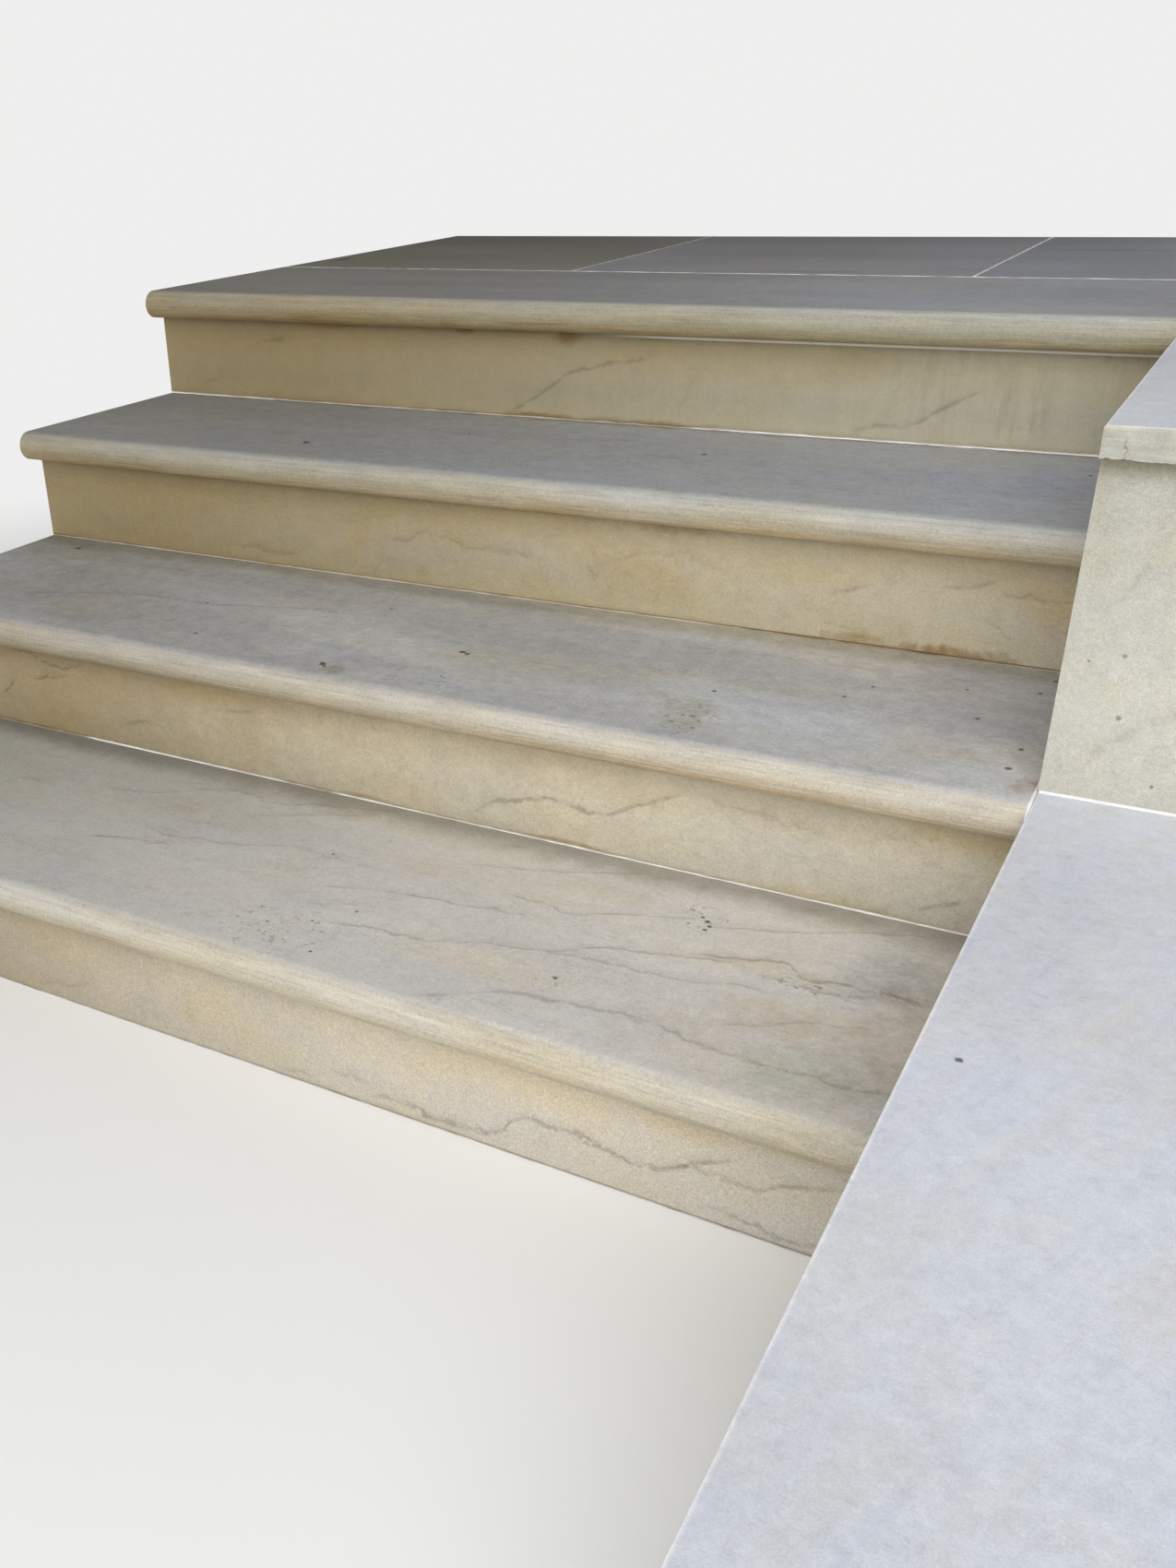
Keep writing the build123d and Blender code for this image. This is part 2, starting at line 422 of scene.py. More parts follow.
class Stone(Shader):
    """The look of a sawn or honed sandstone, on which marks are placed.

    sway bends the marks, wear and broken make them uneven, and grit and sand are the
    fine and the coarse grain.
    """

    vein_margin = 20.0
    vein_fade = 30.0

    def __init__(self, name: str, finish: StoneFinish, across: Across = Across.DEPTH) -> None:
        """Makes the plain stone.

        Args:
            name: The material's name.
            finish: The stone's colours and grain.
            across: The direction in which marks are placed, beside x.
        """
        super().__init__(name)
        self.kind = finish
        ripple = self.noise(24.0, 2.0, shift=finish.shift + 3.1) - 0.5
        tremble = self.noise(8.0, 3.0, shift=finish.shift + 7.7, rough=0.65) - 0.5
        self.sway = ripple * 34.0 + tremble * 18.0
        self.over = self.y if across is Across.DEPTH else self.z
        self.flat_spot = self.stack(self.x, self.over, 0.0)
        self.wear = self.noise(90.0, 3.0, shift=finish.shift + 1.3)
        self.broken = self.noise(13.0, 4.0, (1.6, 1.0, 1.0), finish.shift + 6.1, 0.7).ease(0.36, 0.58)
        self.grit = self.noise(1.5, 3.0, shift=finish.shift, rough=0.75) - 0.5
        self.sand = self.noise(4.2, 2.0, shift=finish.shift + 4.4, rough=0.7) - 0.5
        self._plain()

    def _plain(self) -> None:
        """Colours the stone, with no marks on it."""
        look = self.kind
        cloud = self.noise(look.cloud, 3.0, look.bed, look.shift, 0.55).ease(0.34, 0.66)
        warm = self.noise(look.cloud * 0.4, 3.0, look.bed, look.shift + 5.3, 0.6).ease(0.44, 0.70)
        cool = self.noise(look.cloud * 0.3, 3.0, look.bed, look.shift + 2.9, 0.6).ease(0.48, 0.72)
        mottle = self.noise(17.0, 4.0, shift=look.shift, rough=0.72) - 0.5
        speck = self.noise(2.6, 1.0, shift=look.shift + 2.2).ease(0.70, 0.78)
        # Painted shade: the colour runs from the darker left end to the right end.
        self.colour = self.mix(self.x.ease(*SHADE_BLEND), look.left, look.right)
        self.tint(cloud, (1.0 - look.depth,) * 3)
        self.tint(warm, look.warm)
        self.tint(cool, look.cool)
        grains = self.sand * look.sand + self.grit * (look.grain * 4.0)
        self.colour = self.colour * (1.0 + look.depth * 0.5 + mottle * look.mottle + grains)
        self.tint(speck * 0.5, (0.80, 0.78, 0.76))
        if look.threads:
            lie = self.noise(64.0, 4.0, look.bed, look.shift + 8.8, 0.6)
            first = abs(lie - 0.47).ease(0.013, 0.0) * self.wear.ease(0.44, 0.60)
            second = abs(lie - 0.56).ease(0.011, 0.0) * self.wear.ease(0.56, 0.42)
            bands = lie.ease(0.44, 0.47) * lie.ease(0.54, 0.47)
            self.tint(first.most(second), (1.0 - look.threads,) * 3)
            self.tint(bands * 0.6, (1.0 - look.threads * 0.5,) * 3)

    def veins(self, marks: Sequence[Vein]) -> None:
        """Draws veins on the stone.

        Args:
            marks: The veins.
        """
        swayed_x, swayed = self.x + self.sway, self.sway.times(0.62, self.over)
        rub = self.sand.times(0.9, self.grit * 0.5)
        for mark in marks:
            (start, _), (end, _) = mark.path[0], mark.path[-1]
            places = [v for _, v in mark.path]
            low, high = min(places) - self.vein_margin, max(places) + self.vein_margin
            line = [((u - start) / (end - start), (v - low) / (high - low)) for u, v in mark.path]
            along = swayed_x.times(1 / (end - start), -start / (end - start))
            beside = along.curve(line).times(low - high, swayed - low)
            reach = min(0.45, self.vein_fade / (end - start))
            there = along.ease(0.0, reach) * along.ease(1.0, 1.0 - reach)
            core = abs(beside).ease(mark.width * 1.25, 0.0) + rub
            core = core.ease(0.18, 1.0) * there * (self.broken * 0.75 + 0.25)
            band = beside.ease(mark.band, 0.0) * beside.ease(-mark.width * 1.5, mark.width) * there
            band = band * (self.broken * 0.5 + 0.5)
            dark = 1.0 - mark.depth * 0.95
            self.tint(core, (dark, dark * 0.99, dark * 0.97))
            self.tint(band, tuple(1.0 - mark.band_depth * share for share in (1.0, 1.1, 1.2)))

    def _patch(self, mark: Stain) -> Signal:
        """How far a place is from the middle of a stain, where its size gives 1."""
        (u, v), (wide, tall) = mark.centre, mark.size
        return self.flat_spot.times((1 / wide, 1 / tall, 0.0), (-u / wide, -v / tall, 0.0)).length()

    def stains(self, marks: Sequence[Stain]) -> None:
        """Draws stains on the stone.

        Args:
            marks: The stains.
        """
        for mark in marks:
            edge = (self.wear - 0.5) * (mark.ragged * 2.4) + self.sway * (0.05 * mark.ragged)
            inside = (self._patch(mark) + edge).ease(1.3, mark.core)
            self.tint(inside * (self.broken * 0.5 + 0.5), mark.tone)

    def flecks(self, marks: Sequence[Stain], share: float = 0.66) -> None:
        """Scatters small ragged flecks over patches of the stone.

        Args:
            marks: The patches, each with the tone of its flecks.
            share: The level of a noise above which there is a fleck.
        """
        fleck = self.noise(5.5, 2.0, (1.5, 1.0, 1.0), 9.1, 0.6).ease(share, share + 0.05)
        for mark in marks:
            inside = (self._patch(mark) + (self.wear - 0.5) * 1.5).ease(1.2, 0.5)
            self.tint(inside * fleck, mark.tone)

    def specks(self, marks: Sequence[Triple], tone: RGB = (0.25, 0.23, 0.2)) -> None:
        """Draws small dark specks.

        Args:
            marks: An x, a depth or height, and a radius for each.
            tone: What they do to the colour.
        """
        for u, v, radius in marks:
            ragged = self.grit.times(radius * 1.5, self.flat_spot.away((u, v, 0.0)))
            self.tint(ragged.ease(radius * 1.35, radius * 0.6), tone)

    def done(self, extra: Number = 0.0) -> bpy.types.Material:
        """Ends the stone's material.

        Args:
            extra: More relief in millimetres.

        Returns:
            The finished material.
        """
        roughness = self.kind.roughness + self.grit * 0.1
        relief = self.grit * 0.16 + self.noise(30.0, 1.0) * 0.25 + extra
        return self.finish(roughness, relief)


@dataclass(frozen=True)
class NoseFinish:
    """The sawn finish round a tread's nose.

    left and right are its colours at the two ends, the left darker with painted shade.
    edge holds the depths behind its tip where the honed top begins and is whole. crest,
    lower and under are the tones of painted light: a highlight along its crest, shade on
    its lower half and light reflected onto its underside. smears holds the middle and half
    width of each brown smear.
    """

    left: RGB
    right: RGB
    edge: Point
    crest: RGB
    lower: RGB
    under: RGB
    smears: tuple[Point, ...]


# Painted shade: the noses are mostly darker up the flight and towards the left.
NOSES = {
    1: NoseFinish(
        left=(0.420, 0.402, 0.350),
        right=(0.466, 0.430, 0.358),
        edge=(7.0, 18.0),
        crest=(1.03, 1.04, 1.06),
        lower=(0.96, 0.93, 0.88),
        under=(1.21, 1.21, 1.16),
        smears=((640.0, 60.0),),
    ),
    2: NoseFinish(
        left=(0.340, 0.312, 0.258),
        right=(0.482, 0.452, 0.392),
        edge=(4.0, 13.0),
        crest=(1.0, 1.01, 1.03),
        lower=(0.95, 0.91, 0.84),
        under=(1.27, 1.23, 1.08),
        smears=((1060.0, 110.0), (420.0, 60.0)),
    ),
    3: NoseFinish(
        left=(0.298, 0.284, 0.228),
        right=(0.410, 0.402, 0.370),
        edge=(2.0, 11.0),
        crest=(1.03, 1.06, 1.09),
        lower=(0.98, 0.90, 0.78),
        under=(1.60, 1.50, 1.27),
        smears=((870.0, 60.0), (150.0, 150.0), (1250.0, 50.0)),
    ),
    4: NoseFinish(
        left=(0.275, 0.237, 0.159),
        right=(0.352, 0.342, 0.282),
        edge=(10.0, 28.0),
        crest=(1.16, 1.22, 1.38),
        lower=(0.91, 0.875, 0.79),
        under=(1.34, 1.19, 0.95),
        smears=((690.0, 60.0), (550.0, 20.0), (330.0, 60.0)),
    ),
}

ALONG = (2.6, 0.8, 1.0)  # stretches a honed top's pattern along the tread
# Painted shade and reflection: the tops darken up the flight and towards the left, they are greyer than the
# risers and noses partly by painted sky reflection, and the bluer right ends of the upper tops are painted
# sky reflection.
TREAD_TOPS = {
    1: StoneFinish(
        left=(0.372, 0.365, 0.331),
        right=(0.618, 0.592, 0.556),
        cloud=230.0,
        grain=0.2,
        mottle=0.26,
        sand=0.36,
        bed=ALONG,
    ),
    2: StoneFinish(
        left=(0.334, 0.330, 0.316),
        right=(0.490, 0.486, 0.476),
        cloud=200.0,
        depth=0.20,
        warm=(1.03, 0.98, 0.90),
        grain=0.19,
        mottle=0.72,
        sand=0.48,
        bed=ALONG,
        shift=2.0,
    ),
    3: StoneFinish(
        left=(0.264, 0.260, 0.243),
        right=(0.402, 0.411, 0.422),
        cloud=220.0,
        depth=0.09,
        mottle=0.52,
        sand=0.44,
        bed=ALONG,
        shift=4.0,
    ),
    4: StoneFinish(
        left=(0.240, 0.228, 0.205),
        right=(0.355, 0.360, 0.378),
        cloud=240.0,
        depth=0.12,
        threads=0.05,
        mottle=0.44,
        bed=ALONG,
        shift=6.0,
    ),
}

TREAD_VEINS = {
    1: (
        Vein(((318, 170), (355, 184), (395, 188)), 4.0, 0.14),
        Vein(((441, 204), (495, 212), (538, 230), (580, 258), (634, 271), (676, 262), (715, 279), (772, 293),
              (830, 316))),
        Vein(((650, 216), (695, 235), (726, 254), (765, 270), (811, 300)), depth=0.16),
        Vein(((515, 87), (550, 104), (580, 112), (640, 120)), 4.5, 0.3),
        Vein(((572, 143), (603, 138), (649, 145), (695, 154), (734, 170), (765, 179), (811, 176), (880, 179)),
             depth=0.2),
        Vein(((826, 112), (880, 133), (934, 143), (988, 151), (1042, 158), (1080, 154)), depth=0.3),
        Vein(((1005, 188), (1057, 190), (1088, 181), (1118, 197), (1165, 216), (1215, 232)), depth=0.26),
        Vein(((860, 48), (926, 66), (988, 71), (1042, 93), (1103, 108), (1149, 139), (1195, 151), (1234, 162),
              (1288, 170)), depth=0.26),
        Vein(((1090, 106), (1165, 114), (1234, 117), (1272, 131), (1330, 136)), depth=0.2),
        Vein(((1014, -24), (1042, -11), (1065, 4), (1111, 28), (1165, 35), (1226, 42), (1272, 31), (1372, 28),
              (1460, 30)), 4.5, 0.24),
        Vein(((1262, 46), (1295, 70), (1318, 78), (1349, 101), (1410, 117)), depth=0.16),
        Vein(((1216, 222), (1272, 239), (1318, 258), (1357, 278), (1388, 289), (1430, 305)), depth=0.24),
        Vein(((935, 226), (995, 243), (1042, 258), (1072, 270), (1142, 301)), depth=0.2),
        Vein(((1220, 168), (1272, 178), (1303, 189), (1334, 170), (1360, 178), (1440, 174)),
             5.0, 0.32, 24.0, 0.08),
        Vein(((1290, 163), (1320, 160), (1350, 158), (1392, 163)), 5.0, 0.26, 12.0, 0.06),
        Vein(((330, 40), (420, 52), (520, 44), (600, 58)), depth=0.1),
        Vein(((60, 120), (160, 142), (260, 138), (350, 156)), depth=0.14),
        Vein(((20, 20), (120, 46), (200, 40), (290, 62)), depth=0.12),
    ),
    2: (
        Vein(((175, 382), (260, 420), (330, 444), (450, 450), (520, 470), (600, 488), (660, 486)),
             5.0, 0.2, 30.0, 0.05),
        Vein(((600, 552), (612, 575), (650, 590)), 4.0, 0.3),
        Vein(((1050, 548), (1150, 556), (1290, 560)), 4.0, 0.12),
        Vein(((820, 404), (900, 424), (1000, 428)), 4.0, 0.1, 24.0, 0.05),
    ),
    3: (
        Vein(((520, 838), (640, 812), (800, 830), (880, 865)), 7.0, 0.08, 24.0, 0.04),
        Vein(((60, 700), (160, 742), (260, 800), (330, 812)), 7.0, 0.07, 30.0, 0.05),
        Vein(((1000, 700), (1120, 690), (1260, 668)), 5.0, 0.08),
    ),
    4: (),
}

SAWN = (2.4, 1.0, 0.9)  # stretches a riser's pattern along it
WARM = (1.0, 0.965, 0.87)
# Painted shade: the risers mostly darken up the flight and towards the left.
RISER_FINISHES = {
    1: StoneFinish(
        left=(0.300, 0.250, 0.168),
        right=(0.526, 0.490, 0.434),
        cloud=230.0,
        depth=0.04,
        warm=WARM,
        threads=0.03,
        grain=0.34,
        mottle=0.12,
        sand=0.30,
        bed=SAWN,
        shift=11.0,
    ),
    2: StoneFinish(
        left=(0.330, 0.267, 0.165),
        right=(0.496, 0.455, 0.370),
        cloud=240.0,
        depth=0.05,
        warm=WARM,
        threads=0.05,
        grain=0.25,
        mottle=0.26,
        sand=0.34,
        bed=SAWN,
        shift=13.0,
    ),
    3: StoneFinish(
        left=(0.282, 0.226, 0.126),
        right=(0.455, 0.407, 0.314),
        cloud=240.0,
        depth=0.07,
        warm=WARM,
        threads=0.05,
        grain=0.25,
        sand=0.34,
        bed=SAWN,
        shift=15.0,
    ),
    4: StoneFinish(
        left=(0.266, 0.208, 0.110),
        right=(0.375, 0.345, 0.260),
        depth=0.05,
        warm=WARM,
        threads=0.03,
        grain=0.12,
        mottle=0.22,
        sand=0.2,
        bed=SAWN,
        shift=17.0,
    ),
}

# The tones of each riser's foot and head: painted light and shade.
FOOT_PAINTED_LIGHT = {1: (0.98, 0.98, 0.98), 2: (1.0, 1.0, 1.0), 3: (1.05, 1.05, 1.0), 4: (1.13, 1.14, 1.13)}
HEAD_PAINTED_LIGHT = {1: (1.03, 1.01, 0.96), 2: (0.97, 0.93, 0.85), 3: (0.94, 0.91, 0.82), 4: (0.92, 0.89, 0.81)}

RISER_VEINS = {
    1: (
        Vein(((955, 4), (990, 19), (1025, 12), (1060, 14), (1095, 17), (1130, 46), (1165, 49), (1260, 41),
              (1300, 62), (1345, 82)), 4.5, 0.34),
        Vein(((1262, 42), (1300, 55), (1348, 52), (1375, 66), (1440, 88)), 4.5, 0.32),
        Vein(((835, 4), (905, 16)), 4.0, 0.2),
        Vein(((900, 22), (940, 30), (975, 26)), 4.0, 0.16),
        Vein(((500, 14), (545, 20), (590, 30)), 4.0, 0.14),
        Vein(((560, 24), (610, 40)), 4.0, 0.1),
        Vein(((1300, 14), (1345, 16), (1375, 8), (1420, 20)), 4.0, 0.3),
    ),
    2: (
        Vein(((235, 234), (265, 238), (300, 244), (320, 262)), 4.0, 0.42),
        Vein(((175, 196), (195, 212), (214, 232)), 4.0, 0.36),
        Vein(((195, 262), (240, 270), (280, 258), (350, 270)), 3.5, 0.3),
        Vein(((375, 178), (400, 196), (450, 202)), 4.0, 0.26),
        Vein(((535, 238), (580, 243), (625, 256)), 4.0, 0.3, 10.0, 0.04),
        Vein(((902, 172), (930, 195), (960, 205), (1020, 213), (1045, 206), (1110, 232), (1155, 252)),
             4.2, 0.36),
        Vein(((1150, 250), (1200, 250), (1260, 243), (1305, 234)), 5.0, 0.14),
        Vein(((1330, 232), (1370, 250), (1410, 226), (1440, 214)), 5.0, 0.12),
        Vein(((1385, 172), (1415, 190), (1465, 205)), 4.2, 0.3),
    ),
    3: (
        Vein(((600, 384), (640, 380), (665, 394), (700, 388), (760, 380), (815, 382), (850, 366)),
             4.0, 0.17),
        Vein(((325, 340), (380, 346), (445, 342), (480, 352)), 4.0, 0.16),
        Vein(((520, 396), (560, 398), (600, 410)), 4.0, 0.12),
        Vein(((1185, 372), (1215, 384), (1250, 398)), 4.0, 0.28),
        Vein(((1310, 400), (1350, 406), (1385, 420)), 4.0, 0.24),
        Vein(((1370, 404), (1420, 398), (1465, 406)), 3.5, 0.24),
        Vein(((1355, 374), (1385, 360), (1415, 336)), 3.5, 0.18),
        Vein(((925, 384), (950, 392), (975, 400), (1040, 398), (1090, 376)), 3.5, 0.12),
        Vein(((895, 390), (915, 352)), 3.5, 0.2),
        Vein(((1180, 350), (1240, 336), (1300, 344)), 3.5, 0.12),
    ),
    4: (
        Vein(((618, 484), (655, 502), (700, 530), (722, 546), (760, 556), (800, 562), (850, 572)), 4.2, 0.27),
        Vein(((170, 560), (205, 570), (265, 577)), 4.0, 0.24),
        Vein(((60, 500), (90, 506), (115, 518)), 4.0, 0.16),
        Vein(((1110, 493), (1150, 500), (1185, 502), (1225, 525), (1280, 555)), 4.5, 0.24),
        Vein(((885, 490), (900, 528), (918, 560)), 3.5, 0.14),
    ),
}

# The tones of the drips below the noses and of the smears of rust.
BROWN = (0.70, 0.58, 0.42)
RUST = (0.66, 0.56, 0.46)

RISER_STAINS = {
    1: (
        Stain((735, 44), (9, 26), (0.94, 0.91, 0.83), 0.7),
        Stain((720, 60), (270, 90), (1.08, 1.08, 1.06), 0.9, 0.1),
        Stain((800, 40), (70, 36), (1.0, 0.965, 0.88), 0.8),
        Stain((1290, 92), (60, 12), (1.0, 0.93, 0.79)),
        Stain((1100, 78), (200, 40), (1.03, 0.99, 0.90), 0.8),
    ),
    2: (
        Stain((250, 195), (90, 50), (0.95, 0.93, 0.86), 0.8),
        Stain((800, 212), (400, 90), (1.14, 1.15, 1.14), 0.9, 0.1),
        Stain((560, 262), (120, 14), (0.96, 0.90, 0.78)),
        Stain((1430, 262), (60, 16), (0.94, 0.89, 0.78)),
        Stain((1340, 215), (160, 70), (0.93, 0.93, 0.93), 0.9),
        Stain((760, 166), (30, 5), BROWN),
        Stain((1010, 165), (60, 5), BROWN),
        Stain((1300, 168), (90, 8), (0.98, 0.93, 0.80)),
    ),
    3: (
        Stain((1010, 432), (58, 10), BROWN, 0.7),
        Stain((975, 375), (80, 32), (0.93, 0.885, 0.80), 0.9),
        Stain((1350, 326), (95, 8), RUST, 1.2),
        Stain((1245, 329), (60, 8), BROWN, 1.2),
        Stain((1450, 385), (52, 36), (0.95, 0.87, 0.75)),
        Stain((560, 375), (30, 30), (1.0, 0.95, 0.82)),
        Stain((1040, 362), (300, 50), (1.0, 1.0, 0.96), 0.9),
    ),
    4: (
        Stain((330, 598), (60, 8), (0.86, 0.80, 0.68)),
        Stain((555, 597), (16, 6), BROWN, 0.8),
        Stain((720, 594), (24, 13), BROWN, 0.8),
        Stain((840, 598), (26, 6), (0.82, 0.74, 0.60), 0.8),
        Stain((820, 484), (110, 6), BROWN, 0.9),
        Stain((680, 486), (60, 4), BROWN, 0.9),
        Stain((1120, 580), (70, 26), (0.90, 0.885, 0.86)),
        Stain((1420, 550), (80, 60), (0.93, 0.94, 0.97)),
    ),
}

TREAD_STAINS = {
    1: (
        Stain((1310, 174), (90, 18), (0.95, 0.92, 0.87)),
        Stain((1398, 200), (42, 72), (0.78, 0.785, 0.81)),
        # Painted shade: darkens the right end beside the cheek wall.
        Stain((1460, 120), (70, 260), (0.84, 0.80, 0.74), 0.5, 0.1),
        Stain((1370, 40), (170, 110), (0.92, 0.89, 0.86), 0.6, 0.2),
        Stain((1365, 26), (56, 44), (0.86, 0.91, 0.86)),
        Stain((580, 4), (56, 26), (0.96, 0.98, 1.04)),
        Stain((834, 84), (36, 26), (0.92, 0.95, 0.98)),
        Stain((576, 208), (40, 26), (0.96, 0.92, 0.90)),
        Stain((780, 148), (30, 28), (0.98, 0.93, 0.89)),
        Stain((900, 204), (60, 24), (1.0, 0.955, 0.93)),
        Stain((1045, 68), (110, 34), (1.05, 1.01, 0.945)),
        Stain((950, 60), (120, 60), (1.05, 1.06, 1.08)),
        Stain((1100, 244), (60, 22), (0.95, 0.93, 0.86)),
        Stain((1300, 214), (70, 40), (1.02, 0.98, 0.92)),
        Stain((1330, 96), (60, 34), (1.0, 0.95, 0.87)),
        Stain((120, 200), (180, 80), (0.97, 0.95, 0.90)),
    ),
    2: (
        Stain((733, 313), (15, 15), (0.66, 0.57, 0.50)),
        Stain((1138, 350), (32, 44), (0.86, 0.85, 0.75), 0.8),
        Stain((1470, 326), (18, 18), (0.66, 0.52, 0.46)),
        Stain((780, 340), (90, 40), (0.95, 0.95, 0.97)),
        Stain((1420, 510), (110, 140), (0.88, 0.86, 0.88)),
        Stain((1250, 385), (120, 60), (1.03, 1.06, 1.12)),
        Stain((280, 340), (100, 36), (0.92, 0.90, 0.87)),
        Stain((210, 470), (150, 60), (0.91, 0.87, 0.83)),
        Stain((40, 590), (130, 70), (0.80, 0.80, 0.74)),
        Stain((300, 560), (240, 26), (0.93, 0.93, 0.88)),
        Stain((700, 560), (160, 40), (1.06, 1.05, 1.03)),
        Stain((1330, 590), (90, 30), (0.95, 0.92, 0.93)),
        Stain((870, 395), (70, 26), (0.92, 0.93, 0.86)),
        Stain((640, 420), (260, 110), (1.11, 1.10, 1.08), 0.8, 0.2),
        Stain((130, 560), (60, 30), (1.05, 1.04, 1.0)),
        Stain((980, 440), (170, 60), (0.96, 0.96, 0.93)),
        Stain((440, 430), (110, 50), (0.95, 0.96, 0.98)),
    ),
    3: (
        Stain((370, 740), (42, 22), (0.90, 0.90, 0.88)),
        Stain((510, 760), (40, 18), (0.90, 0.90, 0.90)),
        Stain((935, 772), (32, 14), (0.89, 0.89, 0.88)),
        Stain((1050, 774), (40, 16), (0.94, 0.94, 0.94)),
        Stain((1330, 740), (120, 120), (0.96, 0.97, 1.05)),
        Stain((160, 840), (200, 80), (0.98, 0.98, 0.90)),
        Stain((20, 820), (60, 160), (0.92, 0.92, 0.90)),
        Stain((1390, 800), (50, 120), (0.94, 0.94, 1.0)),
    ),
    4: (
        Stain((390, 1080), (110, 50), (1.0, 0.965, 0.92)),
        Stain((620, 1110), (200, 60), (0.94, 0.94, 0.95)),
        Stain((1200, 1060), (260, 120), (1.02, 1.04, 1.08)),
        Stain((1350, 1130), (60, 90), (0.94, 0.94, 0.96)),
        Stain((200, 960), (240, 30), (0.95, 0.96, 0.90)),
    ),
}

# An x, a depth and a radius for each speck.
TREAD_SPECKS = {
    1: (
        (1217, 230, 3.0), (1222, 222, 2.4), (1210, 236, 2.2), (1220, 214, 2.2), (898, 88, 1.8),
        (868, 52, 1.6), (828, 30, 1.6), (900, 2, 1.8), (1130, 68, 2.2), (806, 184, 1.8),
    ),
    2: (
        (712, 321, 4.0), (709, 324, 2.5), (717, 316, 2.2), (838, 424, 4.2), (846, 421, 3.2),
        (1448, 355, 3.4), (1440, 562, 2.2), (1448, 604, 2.5), (92, 588, 5.0), (1398, 466, 2.4),
        (1140, 428, 2.4), (1372, 542, 2.0), (506, 348, 2.4), (1284, 510, 2.0), (1265, 470, 2.0),
        (1450, 405, 2.4), (442, 452, 2.4), (676, 530, 2.0),
    ),
    3: (
        (450, 688, 5.0), (978, 802, 4.0), (1418, 846, 2.5), (446, 692, 3.0), (634, 818, 2.4),
        (640, 806, 1.8),
    ),
    4: (),
}

TREAD_FLECKS = {
    1: (
        Stain((848, 30), (74, 60), (0.68, 0.67, 0.66)),
        Stain((1212, 232), (26, 24), (0.40, 0.38, 0.36)),
        Stain((1122, 58), (20, 26), (0.70, 0.65, 0.60)),
        Stain((1340, 158), (50, 12), (0.55, 0.50, 0.45)),
    ),
    2: (
        Stain((1138, 346), (38, 46), (0.58, 0.56, 0.40)),
        Stain((840, 330), (70, 30), (0.72, 0.71, 0.70)),
    ),
    3: (),
    4: (),
}

# Where the darker band starts and is whole in front of the next riser, and its tone: partly grime, partly
# painted shade where the riser keeps off the light.
BACK_GRIME_AND_SHADE = {
    1: (60.0, 6.0, (0.56, 0.545, 0.50)),
    2: (54.0, 16.0, (0.76, 0.74, 0.65)),
    3: (16.0, 2.0, (0.78, 0.72, 0.60)),
}


class TreadStone(Stone):
    """A tread: a honed top, and a paler sawn nose with fine lines along it."""

    def __init__(self, step: int) -> None:
        """Makes the tread of a step, whose marks are set out one by one.

        Args:
            step: The step, where 1 is the lowest.
        """
        super().__init__(f"tread_{step}_stone", TREAD_TOPS[step])
        self.step = step
        self._marks()
        self._darken_back_grime_and_shade()
        self._nose()

    def _marks(self) -> None:
        """Draws the marks on the top."""
        self.veins(TREAD_VEINS[self.step])
        self.stains(TREAD_STAINS[self.step])
        self.specks(TREAD_SPECKS[self.step])
        self.flecks(TREAD_FLECKS[self.step], 0.60)

    def _darken_back_grime_and_shade(self) -> None:
        """Darkens the band in front of the next riser: partly grime, partly painted shade where the riser
        keeps off the light.
        """
        if self.step == STEPS:
            return
        back = riser_face(self.step + 1)
        start, end, tone = BACK_GRIME_AND_SHADE[self.step]
        strip = (self.y + (self.wear - 0.5) * 30.0 + self.sway * 0.7).ease(back - start, back - end)
        self.tint(strip, tone)

    def _nose(self) -> None:
        """Changes the stone to the sawn finish round the nose, with painted light and shade on its round."""
        tip = riser_face(self.step) - OVERHANG
        top = level(self.step)
        look = NOSES[self.step]
        honed, self.colour = self.colour, self.mix(self.x.ease(*SHADE_BLEND), look.left, look.right)
        drift = self.noise(120.0, 3.0, (2.0, 1.0, 1.0), 5.0 + self.step).ease(0.4, 0.65)
        self.tint(drift, (1.0, 0.96, 0.88))
        blotch = self.noise(13.0, 4.0, (5.0, 1.0, 1.0), 2.7 * self.step, 0.7) - 0.5
        sand = self.noise(4.0, 2.0, shift=3.9, rough=0.7) - 0.5
        coarse = self.noise(3.2, 3.0, (60.0, 1.0, 1.0), 3.3 * self.step, 0.65)
        fine = self.noise(1.0, 2.0, (50.0, 1.0, 1.0), 1.9 * self.step, 0.6)
        lines = (coarse - 0.5) * 0.78 + (fine - 0.5) * 0.58
        low = self.z.ease(top - 14.0, top - 34.0)
        grains = blotch * 0.6 + sand * 0.4 + self.grit * 0.9
        self.colour = self.colour * (1.03 + lines * (low * 0.8 + 0.7) + grains)
        self.tint(coarse.ease(0.50, 0.58) * low * (blotch + 0.5).ease(0.36, 0.54), (0.73, 0.66, 0.55))
        for centre, half in look.smears:
            reach = (abs(self.x - centre) + (self.wear - 0.5) * half).ease(half, half * 0.4)
            self.tint(reach * low * (coarse.ease(0.42, 0.56) * 0.6 + 0.4), (0.86, 0.80, 0.68))
        # Painted light: a highlight along the crest, shade on the lower half and light reflected onto the
        # underside.
        self.tint(self.z.ease(top - 9.0, top - 2.0), look.crest)
        self.tint(self.z.ease(top - 8.0, top - 23.0), look.lower)
        self.tint(self.z.ease(top - 22.0, top - 39.0), look.under)
        start, end = look.edge
        flat = self.z.ease(top - 4.0, top - 0.6)
        worn = self.y + (self.noise(50.0, 3.0, (3.0, 1.0, 1.0)) - 0.5) * 9.0 + sand * 12.0
        self.colour = self.mix(worn.ease(tip + start, tip + end) * flat, self.colour, honed)
        self.lines = lines * (1.0 - self.y.ease(tip + start, tip + end) * flat)

    def done(self) -> bpy.types.Material:
        """Ends the tread's material."""
        return super().done(self.lines * 0.6)


